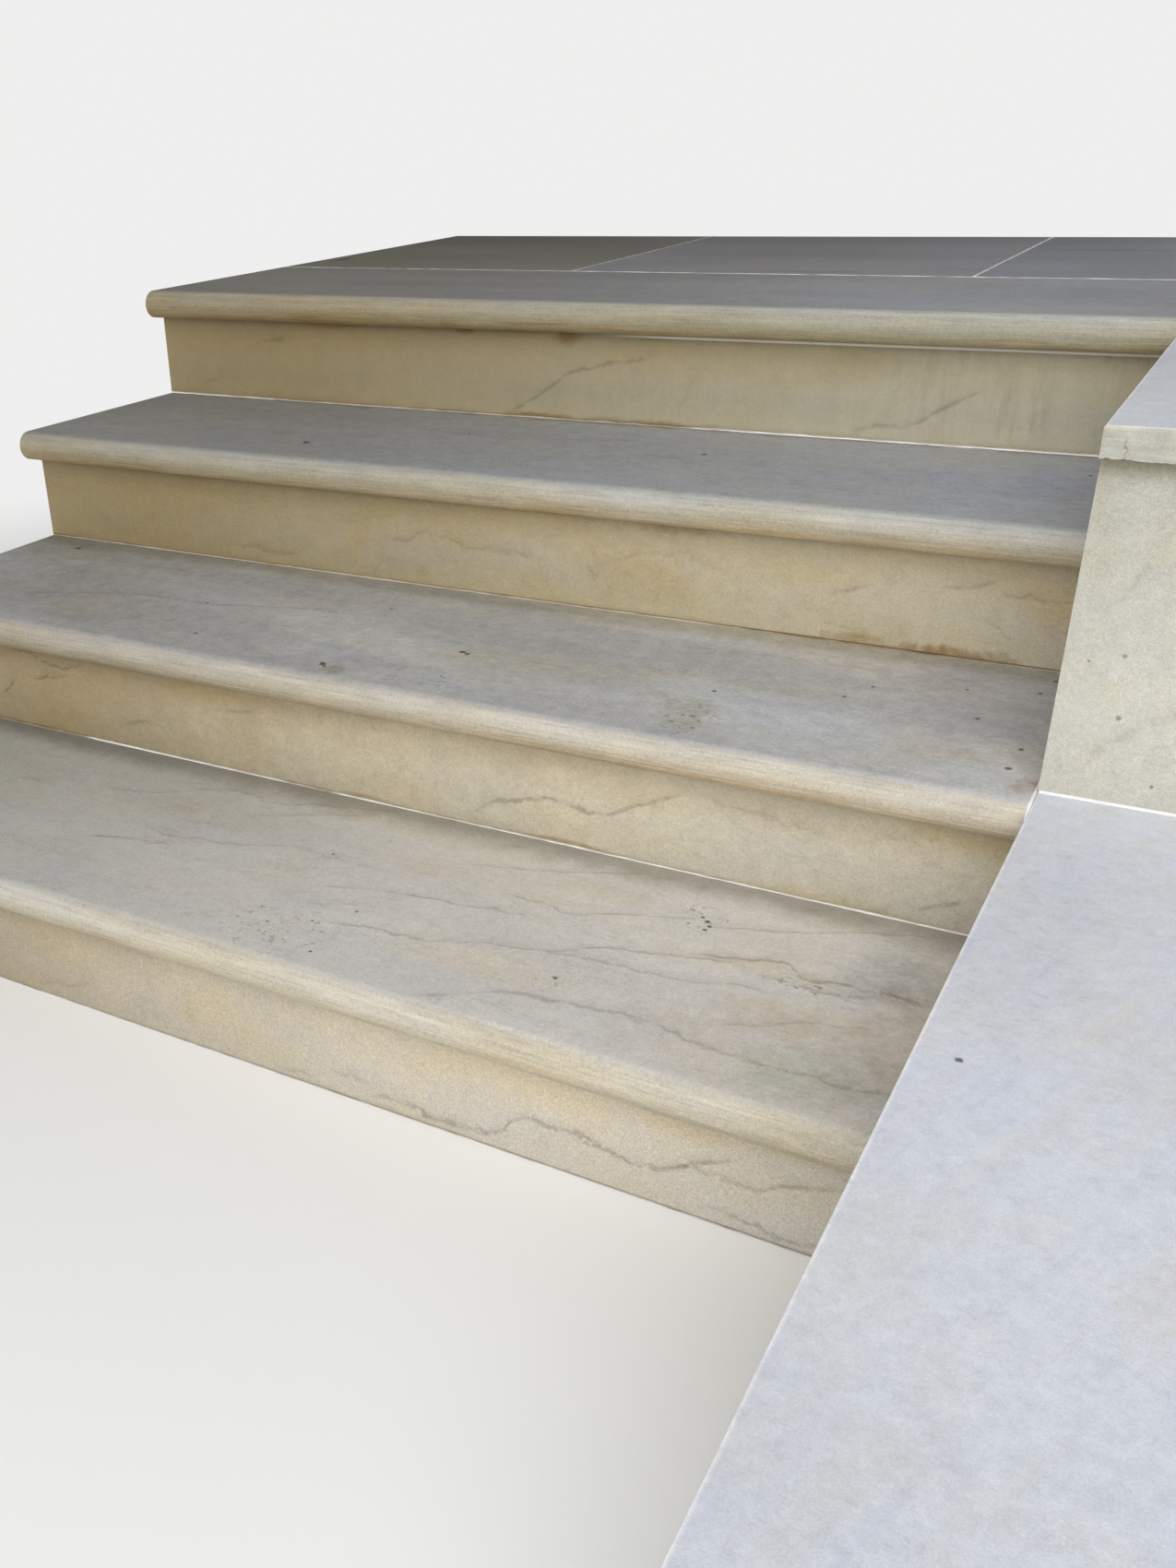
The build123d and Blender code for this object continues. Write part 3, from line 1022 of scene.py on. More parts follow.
class RiserStone(Stone):
    """A riser: warm sawn sandstone, with drip stains below the nose, a dirty foot, and painted light and
    shade on its foot and upper half.
    """

    def __init__(self, step: int) -> None:
        """Makes the riser of a step, whose marks are set out one by one.

        Args:
            step: The step, where 1 is the lowest.
        """
        super().__init__(f"riser_{step}_stone", RISER_FINISHES[step], Across.HEIGHT)
        self.step, self.foot = step, level(step - 1)
        self.veins(RISER_VEINS[step])
        self.stains(RISER_STAINS[step])
        self._paint_foot_and_head_light()
        self._damp()
        self._dirty_foot()
        if step == STEPS:
            self._smeared_head()

    def _paint_foot_and_head_light(self) -> None:
        """Paints light and shade: tones on its foot and its upper half, and a lift of painted light on the
        strip just below the tread, where the nose's shadow falls.
        """
        self.tint(self.z.ease(self.foot + 50.0, self.foot + 4.0), FOOT_PAINTED_LIGHT[self.step])
        self.tint(self.z.ease(self.foot + 45.0, self.foot + 92.0), HEAD_PAINTED_LIGHT[self.step])
        # Painted light: lifts the band just below the nose, where the nose's shadow falls.
        self.colour = self.colour * (1.0 + self.z.ease(self.foot + 96.0, self.foot + 112.0) * 0.14)

    def _damp(self) -> None:
        """Draws upright streaks of damp, on the top riser mostly towards its right end."""
        streak = self.noise(27.0, 4.0, (1.0, 1.0, 7.0), self.step * 3.7, 0.72).ease(0.46, 0.74)
        share = self.x.ease(900.0, 1350.0) * 0.8 + 0.2 if self.step == STEPS else 0.2
        self.tint(streak * share, (0.82, 0.81, 0.80))

    def _dirty_foot(self) -> None:
        """Soils the lowest millimetres, with a ragged upper edge."""
        dirt = (self.z + (self.wear - 0.5) * 12.0).ease(self.foot + 8.0, self.foot + 1.0)
        self.tint(dirt * 0.45, (0.80, 0.72, 0.58))

    def _smeared_head(self) -> None:
        """Pales the head's right half, where mortar of the joint above is smeared."""
        head = level(self.step) - TREAD - HEAD_JOINT
        smeared = self.z.ease(head - 4.6, head - 3.6) * self.x.ease(740.0, 880.0)
        self.colour = self.mix(smeared, self.colour, (0.94, 0.90, 0.80))


class CopingStone(Stone):
    """A coping: pale blue grey, with faint warm streaks that run aslant."""

    def __init__(self, name: str, finish: StoneFinish) -> None:
        """Makes a coping of a finish.

        Args:
            name: The material's name.
            finish: The stone's colours and grain.
        """
        super().__init__(name, finish)
        aslant = self.stack(self.x * 0.94 - self.y * 0.34, self.x * 0.34 + self.y * 0.94, self.z)
        spot = aslant * (1 / 26.0, 1 / 230.0, 1 / 26.0)
        look = {"Vector": spot, "Scale": 1.0, "Detail": 5.0, "Roughness": 0.65}
        streak = self.node("ShaderNodeTexNoise", None, look)
        self.tint(streak.ease(0.48, 0.66), (1.0, 0.977, 0.94))
        self.tint(streak.ease(0.46, 0.30), (0.93, 0.94, 0.97))

    def paint_arris_highlight(self, front: float, top: float) -> None:
        """Paints a highlight along the rounded arrises of its left side and its front.

        Args:
            front: The depth of its front.
            top: The height of its top.
        """
        side = self.stack(self.x - WALL_FACE, 0.0, self.z - top).length()
        end = self.stack(self.y - front, 0.0, self.z - top).length()
        # Painted highlight along the rounded arrises.
        worn = side.ease(3.6, 1.6).most(end.ease(3.6, 1.6))
        self.tint(worn * (self.broken * 0.6 + 0.4), (1.22, 1.19, 1.13))


PALE_BLUE = (0.97, 0.985, 1.02)
FAINT_WARM = (1.01, 0.985, 0.94)
LOWER_COPING = StoneFinish(
    left=(0.585, 0.608, 0.665),
    right=(0.585, 0.608, 0.665),
    cloud=300.0,
    depth=0.06,
    warm=FAINT_WARM,
    cool=PALE_BLUE,
    threads=0.0,
    grain=0.13,
    mottle=0.34,
    roughness=0.68,
)
UPPER_COPING = StoneFinish(
    left=(0.640, 0.665, 0.710),
    right=(0.640, 0.665, 0.710),
    cloud=300.0,
    depth=0.06,
    warm=FAINT_WARM,
    cool=PALE_BLUE,
    threads=0.0,
    grain=0.14,
    sand=0.24,
    roughness=0.68,
)
CLADDING = StoneFinish(
    left=(0.500, 0.490, 0.428),
    right=(0.500, 0.490, 0.428),
    cloud=200.0,
    depth=0.08,
    warm=(1.01, 0.98, 0.90),
    cool=PALE_BLUE,
    threads=0.0,
    grain=0.26,
    mottle=0.34,
    sand=0.3,
    roughness=0.8,
)

# The left and right colours of each landing slab, and the shift of its pattern. Their dark tones are painted
# shade, darker still at the left.
LANDING_TONES = {
    "left": ((0.176, 0.170, 0.146), (0.225, 0.218, 0.202), 21.0),
    "middle": ((0.255, 0.25, 0.245), (0.28, 0.277, 0.295), 23.0),
    "right": ((0.267, 0.265, 0.270), (0.277, 0.288, 0.313), 25.0),
}
LANDING_STAINS = {
    "left": (
        Stain((34, 1427), (20, 34), (0.52, 0.50, 0.46)),
        Stain((120, 1430), (130, 170), (0.93, 0.92, 0.80)),
        Stain((450, 1720), (100, 110), (1.02, 0.96, 0.93)),
        Stain((250, 1650), (200, 120), (1.12, 1.14, 1.14), 0.8),
    ),
    "middle": (
        Stain((720, 1500), (130, 150), (0.98, 0.93, 0.96)),
        Stain((930, 1330), (110, 20), (0.84, 0.83, 0.82)),
        Stain((1060, 1560), (120, 200), (1.03, 1.05, 1.08)),
    ),
    "right": (
        Stain((1300, 1694), (100, 16), (0.80, 0.78, 0.74)),
        Stain((1250, 1420), (60, 90), (1.04, 1.05, 1.08)),
    ),
}


class Mortar(Shader):
    """Pointing, bedding mortar or blockwork: a cement colour with its own grain.

    dirt_span is the length along x that the points of its dirt are spread over.
    """

    dirt_span = 1500.0

    def __init__(
        self, name: str, tone: RGB, dark: RGB, sand: float = 1.2, pits: float = 0.0, grain: float = 0.3
    ) -> None:
        """Makes a cement finish.

        Args:
            name: The material's name.
            tone: Its main colour.
            dark: The colour of its darker patches.
            sand: The size of its grains in millimetres.
            pits: How deep its open pits are in millimetres.
            grain: How much the grains differ in colour.
        """
        super().__init__(name)
        patch = self.noise(50.0, 3.0).ease(0.35, 0.7)
        grit = self.noise(sand, 3.0, rough=0.7) - 0.5
        self.colour = self.mix(patch, tone, dark) * (1.0 + grit * grain)
        self.relief = grit * 0.5
        if pits:
            hole = self.noise(sand * 3.2, 2.0, shift=4.0).ease(0.60, 0.72)
            self.tint(hole * 0.5, (0.72, 0.71, 0.70))
            self.relief = self.relief - hole * pits

    def dirty(self, stretches: Sequence[Point], tone: RGB = (0.42, 0.34, 0.23)) -> None:
        """Soils stretches along x.

        Args:
            stretches: Points of x over the span against the share of dirt.
            tone: What the dirt does to the colour.
        """
        amount = (self.x * (1 / self.dirt_span)).curve(stretches)
        ragged = self.noise(18.0, 3.0, (3.0, 1.0, 1.0)).ease(0.3, 0.6)
        self.tint(amount * (ragged * 0.25 + 0.75), tone)

    def done(self) -> bpy.types.Material:
        """Ends the material."""
        return self.finish(0.9, self.relief, 0.15)


class Pick(Enum):
    """What a choice in edit mode takes."""

    VERT = "VERT"
    EDGE = "EDGE"
    FACE = "FACE"


ALIGNED = 0.9  # the share of a direction from which it counts as running along an axis

Test = Callable[[Vector, Vector], bool]
Element = bmesh.types.BMVert | bmesh.types.BMEdge | bmesh.types.BMFace


class Bench:
    """Blender's modelling operators on one piece at a time, with sizes in millimetres."""

    @staticmethod
    def alone(piece: bpy.types.Object) -> None:
        """Selects one object and nothing else.

        Args:
            piece: The object.
        """
        bpy.ops.object.select_all(action="DESELECT")
        piece.select_set(True)
        bpy.context.view_layer.objects.active = piece

    @staticmethod
    def block(name: str, low: Sequence[float], high: Sequence[float]) -> bpy.types.Object:
        """Adds a squared block between two corners.

        Args:
            name: The piece's name.
            low: Its lowest corner.
            high: Its highest corner.

        Returns:
            The block, with its place in its mesh.
        """
        bpy.ops.object.select_all(action="DESELECT")
        first, last = Vector(low) * MM + CORNER, Vector(high) * MM + CORNER
        bpy.ops.mesh.primitive_cube_add(size=1.0, location=(first + last) / 2, scale=last - first)
        bpy.ops.object.transform_apply(location=True, rotation=True, scale=True)
        piece = bpy.context.active_object
        piece.name = piece.data.name = name
        return piece

    @staticmethod
    @contextmanager
    def editing(piece: bpy.types.Object) -> Iterator[None]:
        """Keeps a piece in edit mode for a while.

        Args:
            piece: The piece, which is the only one selected.
        """
        Bench.alone(piece)
        bpy.ops.object.mode_set(mode="EDIT")
        try:
            yield
        finally:
            bpy.ops.object.mode_set(mode="OBJECT")

    @staticmethod
    def _spot(element: Element) -> tuple[Vector, Vector]:
        """Where an element of a mesh is and which way it looks.

        Args:
            element: A vertex, an edge or a face.

        Returns:
            Its middle in millimetres, and its normal or an edge's direction.
        """
        if isinstance(element, bmesh.types.BMVert):
            middle, way = element.co, element.normal
        elif isinstance(element, bmesh.types.BMEdge):
            start, end = (vert.co for vert in element.verts)
            middle, way = (start + end) / 2, (end - start).normalized()
        else:
            middle, way = element.calc_center_median(), element.normal
        return (middle - CORNER) / MM, way

    @staticmethod
    def choose(piece: bpy.types.Object, pick: Pick, test: Test) -> int:
        """Selects by place, in edit mode.

        Args:
            piece: The piece being edited.
            pick: Whether vertices, edges or faces are chosen.
            test: Takes a middle in millimetres and a normal or direction.

        Returns:
            How many were chosen.
        """
        bpy.ops.mesh.select_all(action="DESELECT")
        bpy.ops.mesh.select_mode(type=pick.value)
        mesh = bmesh.from_edit_mesh(piece.data)
        mesh.normal_update()
        among = {Pick.VERT: mesh.verts, Pick.EDGE: mesh.edges, Pick.FACE: mesh.faces}[pick]
        chosen = [element for element in among if test(*Bench._spot(element))]
        for element in chosen:
            element.select_set(True)
        mesh.select_flush_mode()
        bmesh.update_edit_mesh(piece.data)
        return len(chosen)

    @staticmethod
    def round_edges(
        piece: bpy.types.Object, radius: float, test: Test, segments: int = 2
    ) -> None:
        """Rounds the chosen edges.

        Args:
            piece: The piece.
            radius: The radius of the rounding.
            test: Chooses the edges.
            segments: How many strips it has.
        """
        with Bench.editing(piece):
            if Bench.choose(piece, Pick.EDGE, test):
                bpy.ops.mesh.bevel(
                    offset=radius * MM, segments=segments, profile=0.5, affect="EDGES", clamp_overlap=False
                )
                bpy.ops.mesh.select_all(action="SELECT")
                bpy.ops.mesh.remove_doubles(threshold=0.00001)

    @staticmethod
    def divide(piece: bpy.types.Object, cuts: int, test: Test) -> None:
        """Subdivides the chosen edges.

        Args:
            piece: The piece.
            cuts: How many cuts each edge gets.
            test: Chooses the edges.
        """
        with Bench.editing(piece):
            Bench.choose(piece, Pick.EDGE, test)
            bpy.ops.mesh.subdivide(number_cuts=cuts)

    @staticmethod
    def slice(piece: bpy.types.Object, axis: int, places: Sequence[float]) -> None:
        """Cuts all of a piece's faces on planes across an axis, and keeps both sides.

        Args:
            piece: The piece.
            axis: The axis, by number.
            places: Where the planes cross it, in millimetres.
        """
        with Bench.editing(piece):
            for place in places:
                bpy.ops.mesh.select_all(action="SELECT")
                spot, way = Vector(CORNER), Vector((0, 0, 0))
                spot[axis] += place * MM
                way[axis] = 1.0
                bpy.ops.mesh.bisect(plane_co=spot, plane_no=way)

    @staticmethod
    def push(piece: bpy.types.Object, shift: Sequence[float], test: Test) -> None:
        """Extrudes the chosen faces.

        Args:
            piece: The piece.
            shift: How far they move along each axis, in millimetres.
            test: Chooses the faces.
        """
        with Bench.editing(piece):
            if Bench.choose(piece, Pick.FACE, test):
                move = {"value": Vector(shift) * MM}
                bpy.ops.mesh.extrude_region_move(TRANSFORM_OT_translate=move)

    @staticmethod
    def roughen(piece: bpy.types.Object, amount: float, seed: int, test: Test) -> None:
        """Moves the chosen vertices a little, each its own way.

        Args:
            piece: The piece.
            amount: How far they move at most, in millimetres.
            seed: The seed of the draw.
            test: Chooses the vertices.
        """
        with Bench.editing(piece):
            if Bench.choose(piece, Pick.VERT, test):
                bpy.ops.transform.vertex_random(offset=amount * MM, seed=seed)

    @staticmethod
    def join(name: str, parts: Sequence[bpy.types.Object]) -> bpy.types.Object:
        """Joins pieces into one mesh.

        Args:
            name: The name of the whole.
            parts: The pieces.

        Returns:
            The joined piece.
        """
        Bench.alone(parts[0])
        for part in parts:
            part.select_set(True)
        if len(parts) > 1:
            bpy.ops.object.join()
        whole = bpy.context.active_object
        whole.name = whole.data.name = name
        return whole

    @staticmethod
    def smooth(piece: bpy.types.Object, angle: float = 0.6) -> None:
        """Shades a piece smooth but for edges sharper than an angle in radians."""
        Bench.alone(piece)
        bpy.ops.object.shade_smooth_by_angle(angle=angle)


def near(value: float, place: float, within: float = 0.05) -> bool:
    """Whether a value is at a place, in millimetres."""
    return abs(value - place) < within


class Slot(Enum):
    """The record's material slots, named for new pieces but not read."""

    TREAD = "tread_stone"
    RISER = "riser_stone"
    LANDING = "landing_stone"
    CLADDING = "cladding_stone"
    COPING = "coping_stone"
    POINTING = "pointing"
    BLOCKS = "blockwork"


class Yard:
    """Sets finished pieces in the scene, and dresses the nodes that stay."""

    def __init__(self, nodes: Mapping[str, bpy.types.Object]) -> None:
        """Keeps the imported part's nodes."""
        self.nodes = nodes

    def set(
        self, piece: bpy.types.Object, slot: Slot, materials: Sequence[bpy.types.Material], *replaced: str
    ) -> None:
        """Dresses a new piece and lets it ride on the part.

        Args:
            piece: The new piece.
            slot: The record's slot for its finish; not used.
            materials: Its materials.
            replaced: The nodes that it stands for.
        """
        for material in materials[len(piece.data.materials):]:
            piece.data.materials.append(material)
        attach(piece, "root")
        if replaced:
            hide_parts(*replaced)
        log.info("%s: %d faces, for %s", piece.name, len(piece.data.polygons), replaced or "itself")

    def dress(self, material: bpy.types.Material, *names: str) -> None:
        """Gives nodes that stay their material.

        Args:
            material: The material.
            names: The names of the nodes.
        """
        for name in names:
            self.nodes[name].data.materials.clear()
            self.nodes[name].data.materials.append(material)
            log.info("%s keeps its shape", name)


@dataclass
class Blocks:
    """Blockwork in a course: one row of blocks over its bed, with raked joints.

    No upright joint is nearer to an end than shortest.
    """

    length: float = 440.0
    joint: float = 10.0
    rake: float = 3.0
    shortest: float = 30.0

    @property
    def pitch(self) -> float:
        """The length of a block with its joint."""
        return self.length + self.joint

    def row(
        self,
        name: str,
        low: Sequence[float],
        high: Sequence[float],
        beds: Sequence[Point],
        offset: float,
        left: bool = True,
        back: bool = True,
    ) -> bpy.types.Object:
        """Models blockwork whose joints show on its left side and its back.

        Args:
            name: The piece's name.
            low: Its lowest corner.
            high: Its highest corner.
            beds: The bottom and top of each bed joint.
            offset: How far the first upright joint is from the back or the left.
            left: Whether its left side shows.
            back: Whether its back shows.

        Returns:
            The blockwork, whose raked faces have the second material.
        """
        piece = Bench.block(name, low, high)
        rows = self._joints(low[1], high[1], high[1] - offset, -self.pitch) if left else []
        ends = self._joints(low[0], high[0], low[0] + offset, self.pitch) if back else []
        Bench.slice(piece, 2, [z for bed in beds for z in bed if low[2] < z < high[2]])
        Bench.slice(piece, 1, [y for joint in rows for y in joint])
        Bench.slice(piece, 0, [x for joint in ends for x in joint])

        def in_joint(at: Vector, places: Sequence[Point], axis: int) -> bool:
            """Whether a place is in an upright joint or in a bed joint."""
            upright = any(start < at[axis] < end for start, end in places)
            return upright or any(start < at.z < end for start, end in beds)

        def left_joint(at: Vector, way: Vector) -> bool:
            """Whether a face is a joint's on the left side."""
            return way.x < -ALIGNED and near(at.x, low[0]) and in_joint(at, rows, 1)

        def back_joint(at: Vector, way: Vector) -> bool:
            """Whether a face is a joint's at the back."""
            return way.y > ALIGNED and near(at.y, high[1]) and in_joint(at, ends, 0)

        if left:
            Bench.push(piece, (self.rake, 0, 0), left_joint)
        if back:
            Bench.push(piece, (0, -self.rake, 0), back_joint)
        self._mark_joints(piece, low, high)
        return piece

    def _joints(self, low: float, high: float, first: float, pitch: float) -> list[Point]:
        """Places the upright joints between two ends.

        Args:
            low: The lower end.
            high: The higher end.
            first: The middle of the first joint.
            pitch: How far the next one is, and which way.

        Returns:
            The limits of each joint.
        """
        found = []
        while low + self.shortest < first < high - self.shortest:
            found.append((first - self.joint / 2, first + self.joint / 2))
            first += pitch
        return found

    def _mark_joints(
        self, piece: bpy.types.Object, low: Sequence[float], high: Sequence[float]
    ) -> None:
        """Gives the raked faces the second material.

        Args:
            piece: The blockwork.
            low: Its lowest corner.
            high: Its highest corner.
        """
        for face in piece.data.polygons:
            middle = (face.center - CORNER) / MM
            deep_left = near(middle.x, low[0] + self.rake) and face.normal.x < -ALIGNED
            deep_back = near(middle.y, high[1] - self.rake) and face.normal.y > ALIGNED
            face.material_index = int(deep_left or deep_back)


@dataclass(frozen=True)
class Masonry:
    """How blocks are laid, their material and their joints', and the two mortars."""

    blocks: Blocks
    walling: tuple[bpy.types.Material, bpy.types.Material]
    bedding: bpy.types.Material
    pointing: bpy.types.Material


@dataclass
class Flight:
    """The four treads and risers, with their joints and the blockwork behind them.

    The pointing at a riser's foot lies foot_setback behind the riser's face, and
    foot_waver says how uneven it is.
    """

    yard: Yard
    masonry: Masonry
    arris: float = 0.7
    nose_segments: int = 18
    bed: float = 10.0
    foot_height: float = 3.0
    foot_setback: float = 0.4
    foot_waver: float = 0.45
    foot_cuts: int = 240
    block_height: float = 140.0
    lowest_block_height: float = 100.0

    def tread(self, step: int) -> None:
        """Models and dresses a tread with its half-round nose.

        Args:
            step: The step, where 1 is the lowest.
        """
        tip, top = riser_face(step) - OVERHANG, level(step)
        low, high = (0, tip, top - TREAD), (FLIGHT, riser_back(step + 1), top)
        piece = Bench.block(f"tread_stone_{step}", low, high)
        radius = TREAD / 2 - 0.005  # a hair less than half, so that the two roundings don't meet

        def nose(at: Vector, way: Vector) -> bool:
            """Whether an edge runs along the front."""
            return near(at.y, tip) and abs(way.x) > ALIGNED

        def end(at: Vector, way: Vector) -> bool:
            """Whether an edge runs round one of the ends."""
            return min(at.x, FLIGHT - at.x) < 0.01 and abs(way.x) < 0.1

        Bench.round_edges(piece, radius, nose, self.nose_segments)
        Bench.round_edges(piece, self.arris, end)
        Bench.smooth(piece)
        self.yard.set(piece, Slot.TREAD, [TreadStone(step).done()], f"tread_{step}")

    def riser(self, step: int) -> None:
        """Models and dresses a riser.

        Args:
            step: The step, where 1 is the lowest.
        """
        face, foot = riser_face(step), level(step - 1) + self.foot_height
        head = level(step) - TREAD - HEAD_JOINT
        piece = Bench.block(f"riser_stone_{step}", (0, face, foot), (FLIGHT, face + RISER, head))
        Bench.round_edges(piece, self.arris, lambda at, way: True)
        Bench.smooth(piece)
        self.yard.set(piece, Slot.RISER, [RiserStone(step).done()], f"riser_{step}")

    def foot_joint(self, step: int) -> None:
        """Models and dresses the pointing at a riser's foot, a little uneven along its face.

        Args:
            step: The step, where 1 is the lowest.
        """
        face, foot = riser_face(step), level(step - 1)
        front = face + self.foot_setback
        low, high = (0, front, foot), (FLIGHT, face + RISER, foot + self.foot_height)
        piece = Bench.block(f"foot_pointing_{step}", low, high)
        Bench.divide(piece, self.foot_cuts, lambda at, way: abs(way.x) > ALIGNED)
        Bench.roughen(
            piece,
            self.foot_waver,
            step,
            lambda at, way: near(at.y, front) and 1.0 < at.x < FLIGHT - 1.0,
        )
        Bench.smooth(piece, 0.9)
        look = Mortar(f"foot_pointing_{step}", *FOOT_TONES[step])
        look.dirty(FOOT_DIRT[step])
        ragged = look.z + (look.noise(9.0, 3.0, (3.0, 1.0, 1.0)) - 0.5) * 3.0
        look.tint(ragged.ease(foot + 0.9, foot + 1.9), (0.52, 0.47, 0.39))
        self.yard.set(piece, Slot.POINTING, [look.done()], f"foot_joint_{step}")

    def blockwork(self, step: int) -> None:
        """Models and dresses the course of blocks behind a riser.

        Args:
            step: The step, where 1 is the lowest.
        """
        blocks = self.masonry.blocks
        base = level(step - 1) - TREAD - self.bed if step > 1 else 0.0
        top = level(step) - TREAD - self.bed
        height = self.block_height if step > 1 else self.lowest_block_height
        beds = [(base - 1.0, top - height)]  # from below the course, so that its foot is in it
        offset = blocks.pitch / 2 if step % 2 else blocks.pitch
        low, high = (0, riser_back(step), base), (FLIGHT, HOUSE, top)
        piece = blocks.row(f"blockwork_{step}", low, high, beds, offset)
        self.yard.set(piece, Slot.BLOCKS, self.masonry.walling, f"core_course_{step}")

    def side_filling(self) -> None:
        """Fills the joint beside the cheek wall behind the backs of the lower treads."""
        bars = []
        for step in range(1, STEPS):
            low = (FLIGHT, riser_back(step + 1), level(step) - TREAD)
            bars.append(Bench.block(f"side_bar_{step}", low, (WALL_FACE, HOUSE, level(step))))
        piece = Bench.join("side_joint_filling", bars)
        Bench.smooth(piece)
        self.yard.set(piece, Slot.POINTING, [self.masonry.pointing])

    def build(self) -> None:
        """Builds the flight from the ground up."""
        self.side_filling()
        for step in range(1, STEPS + 1):
            self.blockwork(step)
            self.riser(step)
            self.foot_joint(step)
            self.yard.dress(self.masonry.bedding, f"tread_bed_{step}")
            self.tread(step)


# The main and the dark colour of the pointing at each riser's foot.
FOOT_TONES = {
    1: ((0.58, 0.57, 0.55), (0.44, 0.43, 0.40)),
    2: ((0.92, 0.91, 0.89), (0.78, 0.75, 0.71)),
    3: ((0.62, 0.55, 0.46), (0.50, 0.42, 0.32)),
    4: ((0.90, 0.91, 0.93), (0.82, 0.82, 0.82)),
}

# Where that pointing is dirty: points of x over the span against the share of dirt.
FOOT_DIRT = {
    1: ((0.0, 0.1), (0.3, 0.05), (0.6, 0.2), (0.8, 0.1), (1.0, 0.5)),
    2: (
        (0.0, 1.0), (0.21, 1.0), (0.232, 0.05), (0.42, 0.1), (0.445, 0.85), (0.47, 0.85),
        (0.49, 0.15), (0.6, 0.35), (0.66, 0.1), (1.0, 0.05),
    ),
    3: (
        (0.0, 0.5), (0.2, 0.25), (0.4, 0.15), (0.7, 0.25), (0.78, 0.9), (0.9, 0.8), (0.96, 0.4),
        (1.0, 0.3),
    ),
    4: (
        (0.0, 0.1), (0.07, 0.3), (0.2, 0.8), (0.4, 0.9), (0.58, 0.95), (0.63, 0.1), (0.8, 0.02),
        (1.0, 0.0),
    ),
}
LANDING_DIRT = ((0.0, 0.6), (0.34, 0.7), (0.372, 0.8), (0.384, 0.8), (0.40, 0.1), (1.0, 0.0))


@dataclass
class Landing:
    """The paving behind the top tread: three slabs and their pointed joints.

    edges holds the name, left edge and right edge of each slab. The joints stand
    proud of the slabs, and waver says how uneven they are.
    """

    yard: Yard
    masonry: Masonry
    thickness: float = 22.0
    arris: float = 0.6
    joint: float = 4.0
    proud: float = 0.3
    waver: float = 0.7
    cuts: int = 160
    edges: tuple[tuple[str, float, float], ...] = (
        ("left", 0.0, 560.0), ("middle", 564.0, 1173.0), ("right", 1177.0, FLIGHT)
    )

    @property
    def front(self) -> float:
        """The depth of the slabs' front, behind the top tread and its joint."""
        return riser_back(STEPS + 1) + self.joint

    def build(self) -> None:
        """Builds the landing on its bed."""
        top = level(STEPS)
        self.yard.dress(self.masonry.bedding, "landing_bed")
        for side, start, end in self.edges:
            low, high = (start, self.front, top - self.thickness), (end, HOUSE, top)
            piece = Bench.block(f"landing_paving_{side}", low, high)
            Bench.round_edges(piece, self.arris, lambda at, way: near(at.z, top))
            Bench.smooth(piece)
            left, right, shift = LANDING_TONES[side]
            finish = StoneFinish(left, right, cloud=300.0, threads=0.0, bed=ALONG, shift=shift)
            look = Stone(f"landing_paving_{side}", finish)
            look.stains(LANDING_STAINS[side])
            self.yard.set(piece, Slot.LANDING, [look.done()], f"landing_slab_{side}")
        self.pointing()

    def pointing(self) -> None:
        """Models the landing's hand-filled joints, which stand a little proud and waver."""
        base, top = level(STEPS) - self.thickness, level(STEPS) + self.proud
        front = self.front
        bars = [("landing_pointing", (0, front - self.joint, base), (FLIGHT, front, top))]
        for (_, _, start), (_, end, _) in zip(self.edges, self.edges[1:]):
            bars.append((f"bar_{start:.0f}", (start, front, base), (end, HOUSE, top)))
        beads = []
        for number, (name, low, high) in enumerate(bars):
            bead = Bench.block(name, low, high)
            axis = 0 if number == 0 else 1
            Bench.divide(bead, self.cuts, lambda at, way: abs(way[axis]) > ALIGNED)
            Bench.roughen(bead, self.waver, 30 + number, lambda at, way: near(at.z, top, 0.2))
            beads.append(bead)
        piece = Bench.join("landing_pointing", beads)
        Bench.smooth(piece, 0.9)
        look = Mortar("landing_pointing", (0.86, 0.85, 0.84), (0.74, 0.73, 0.72))
        look.dirty(LANDING_DIRT, (0.62, 0.58, 0.54))
        self.yard.set(piece, Slot.POINTING, [look.done()], "landing_joints")


CLADDING_VEINS = (
    Vein(((1496, 330), (1512, 352), (1528, 376), (1560, 404), (1610, 430)), 9.0, 0.12, 24.0, 0.03),
    Vein(((1490, 452), (1506, 482), (1518, 512), (1534, 536), (1560, 590)), 9.0, 0.10, 24.0, 0.03),
)
CLADDING_SPECKS = ((1531, 402, 2.2), (1526, 456, 1.6), (1567, 346, 1.6), (1500, 448, 1.2))
LOWER_COPING_STAINS = (
    Stain((1520, 30), (36, 170), (0.945, 0.95, 0.965), 0.9),
    Stain((1640, -60), (90, 60), (1.0, 0.975, 0.94), 0.9),
)
LOWER_COPING_FLECKS = (Stain((1525, 40), (60, 260), (0.92, 0.92, 0.93)),)


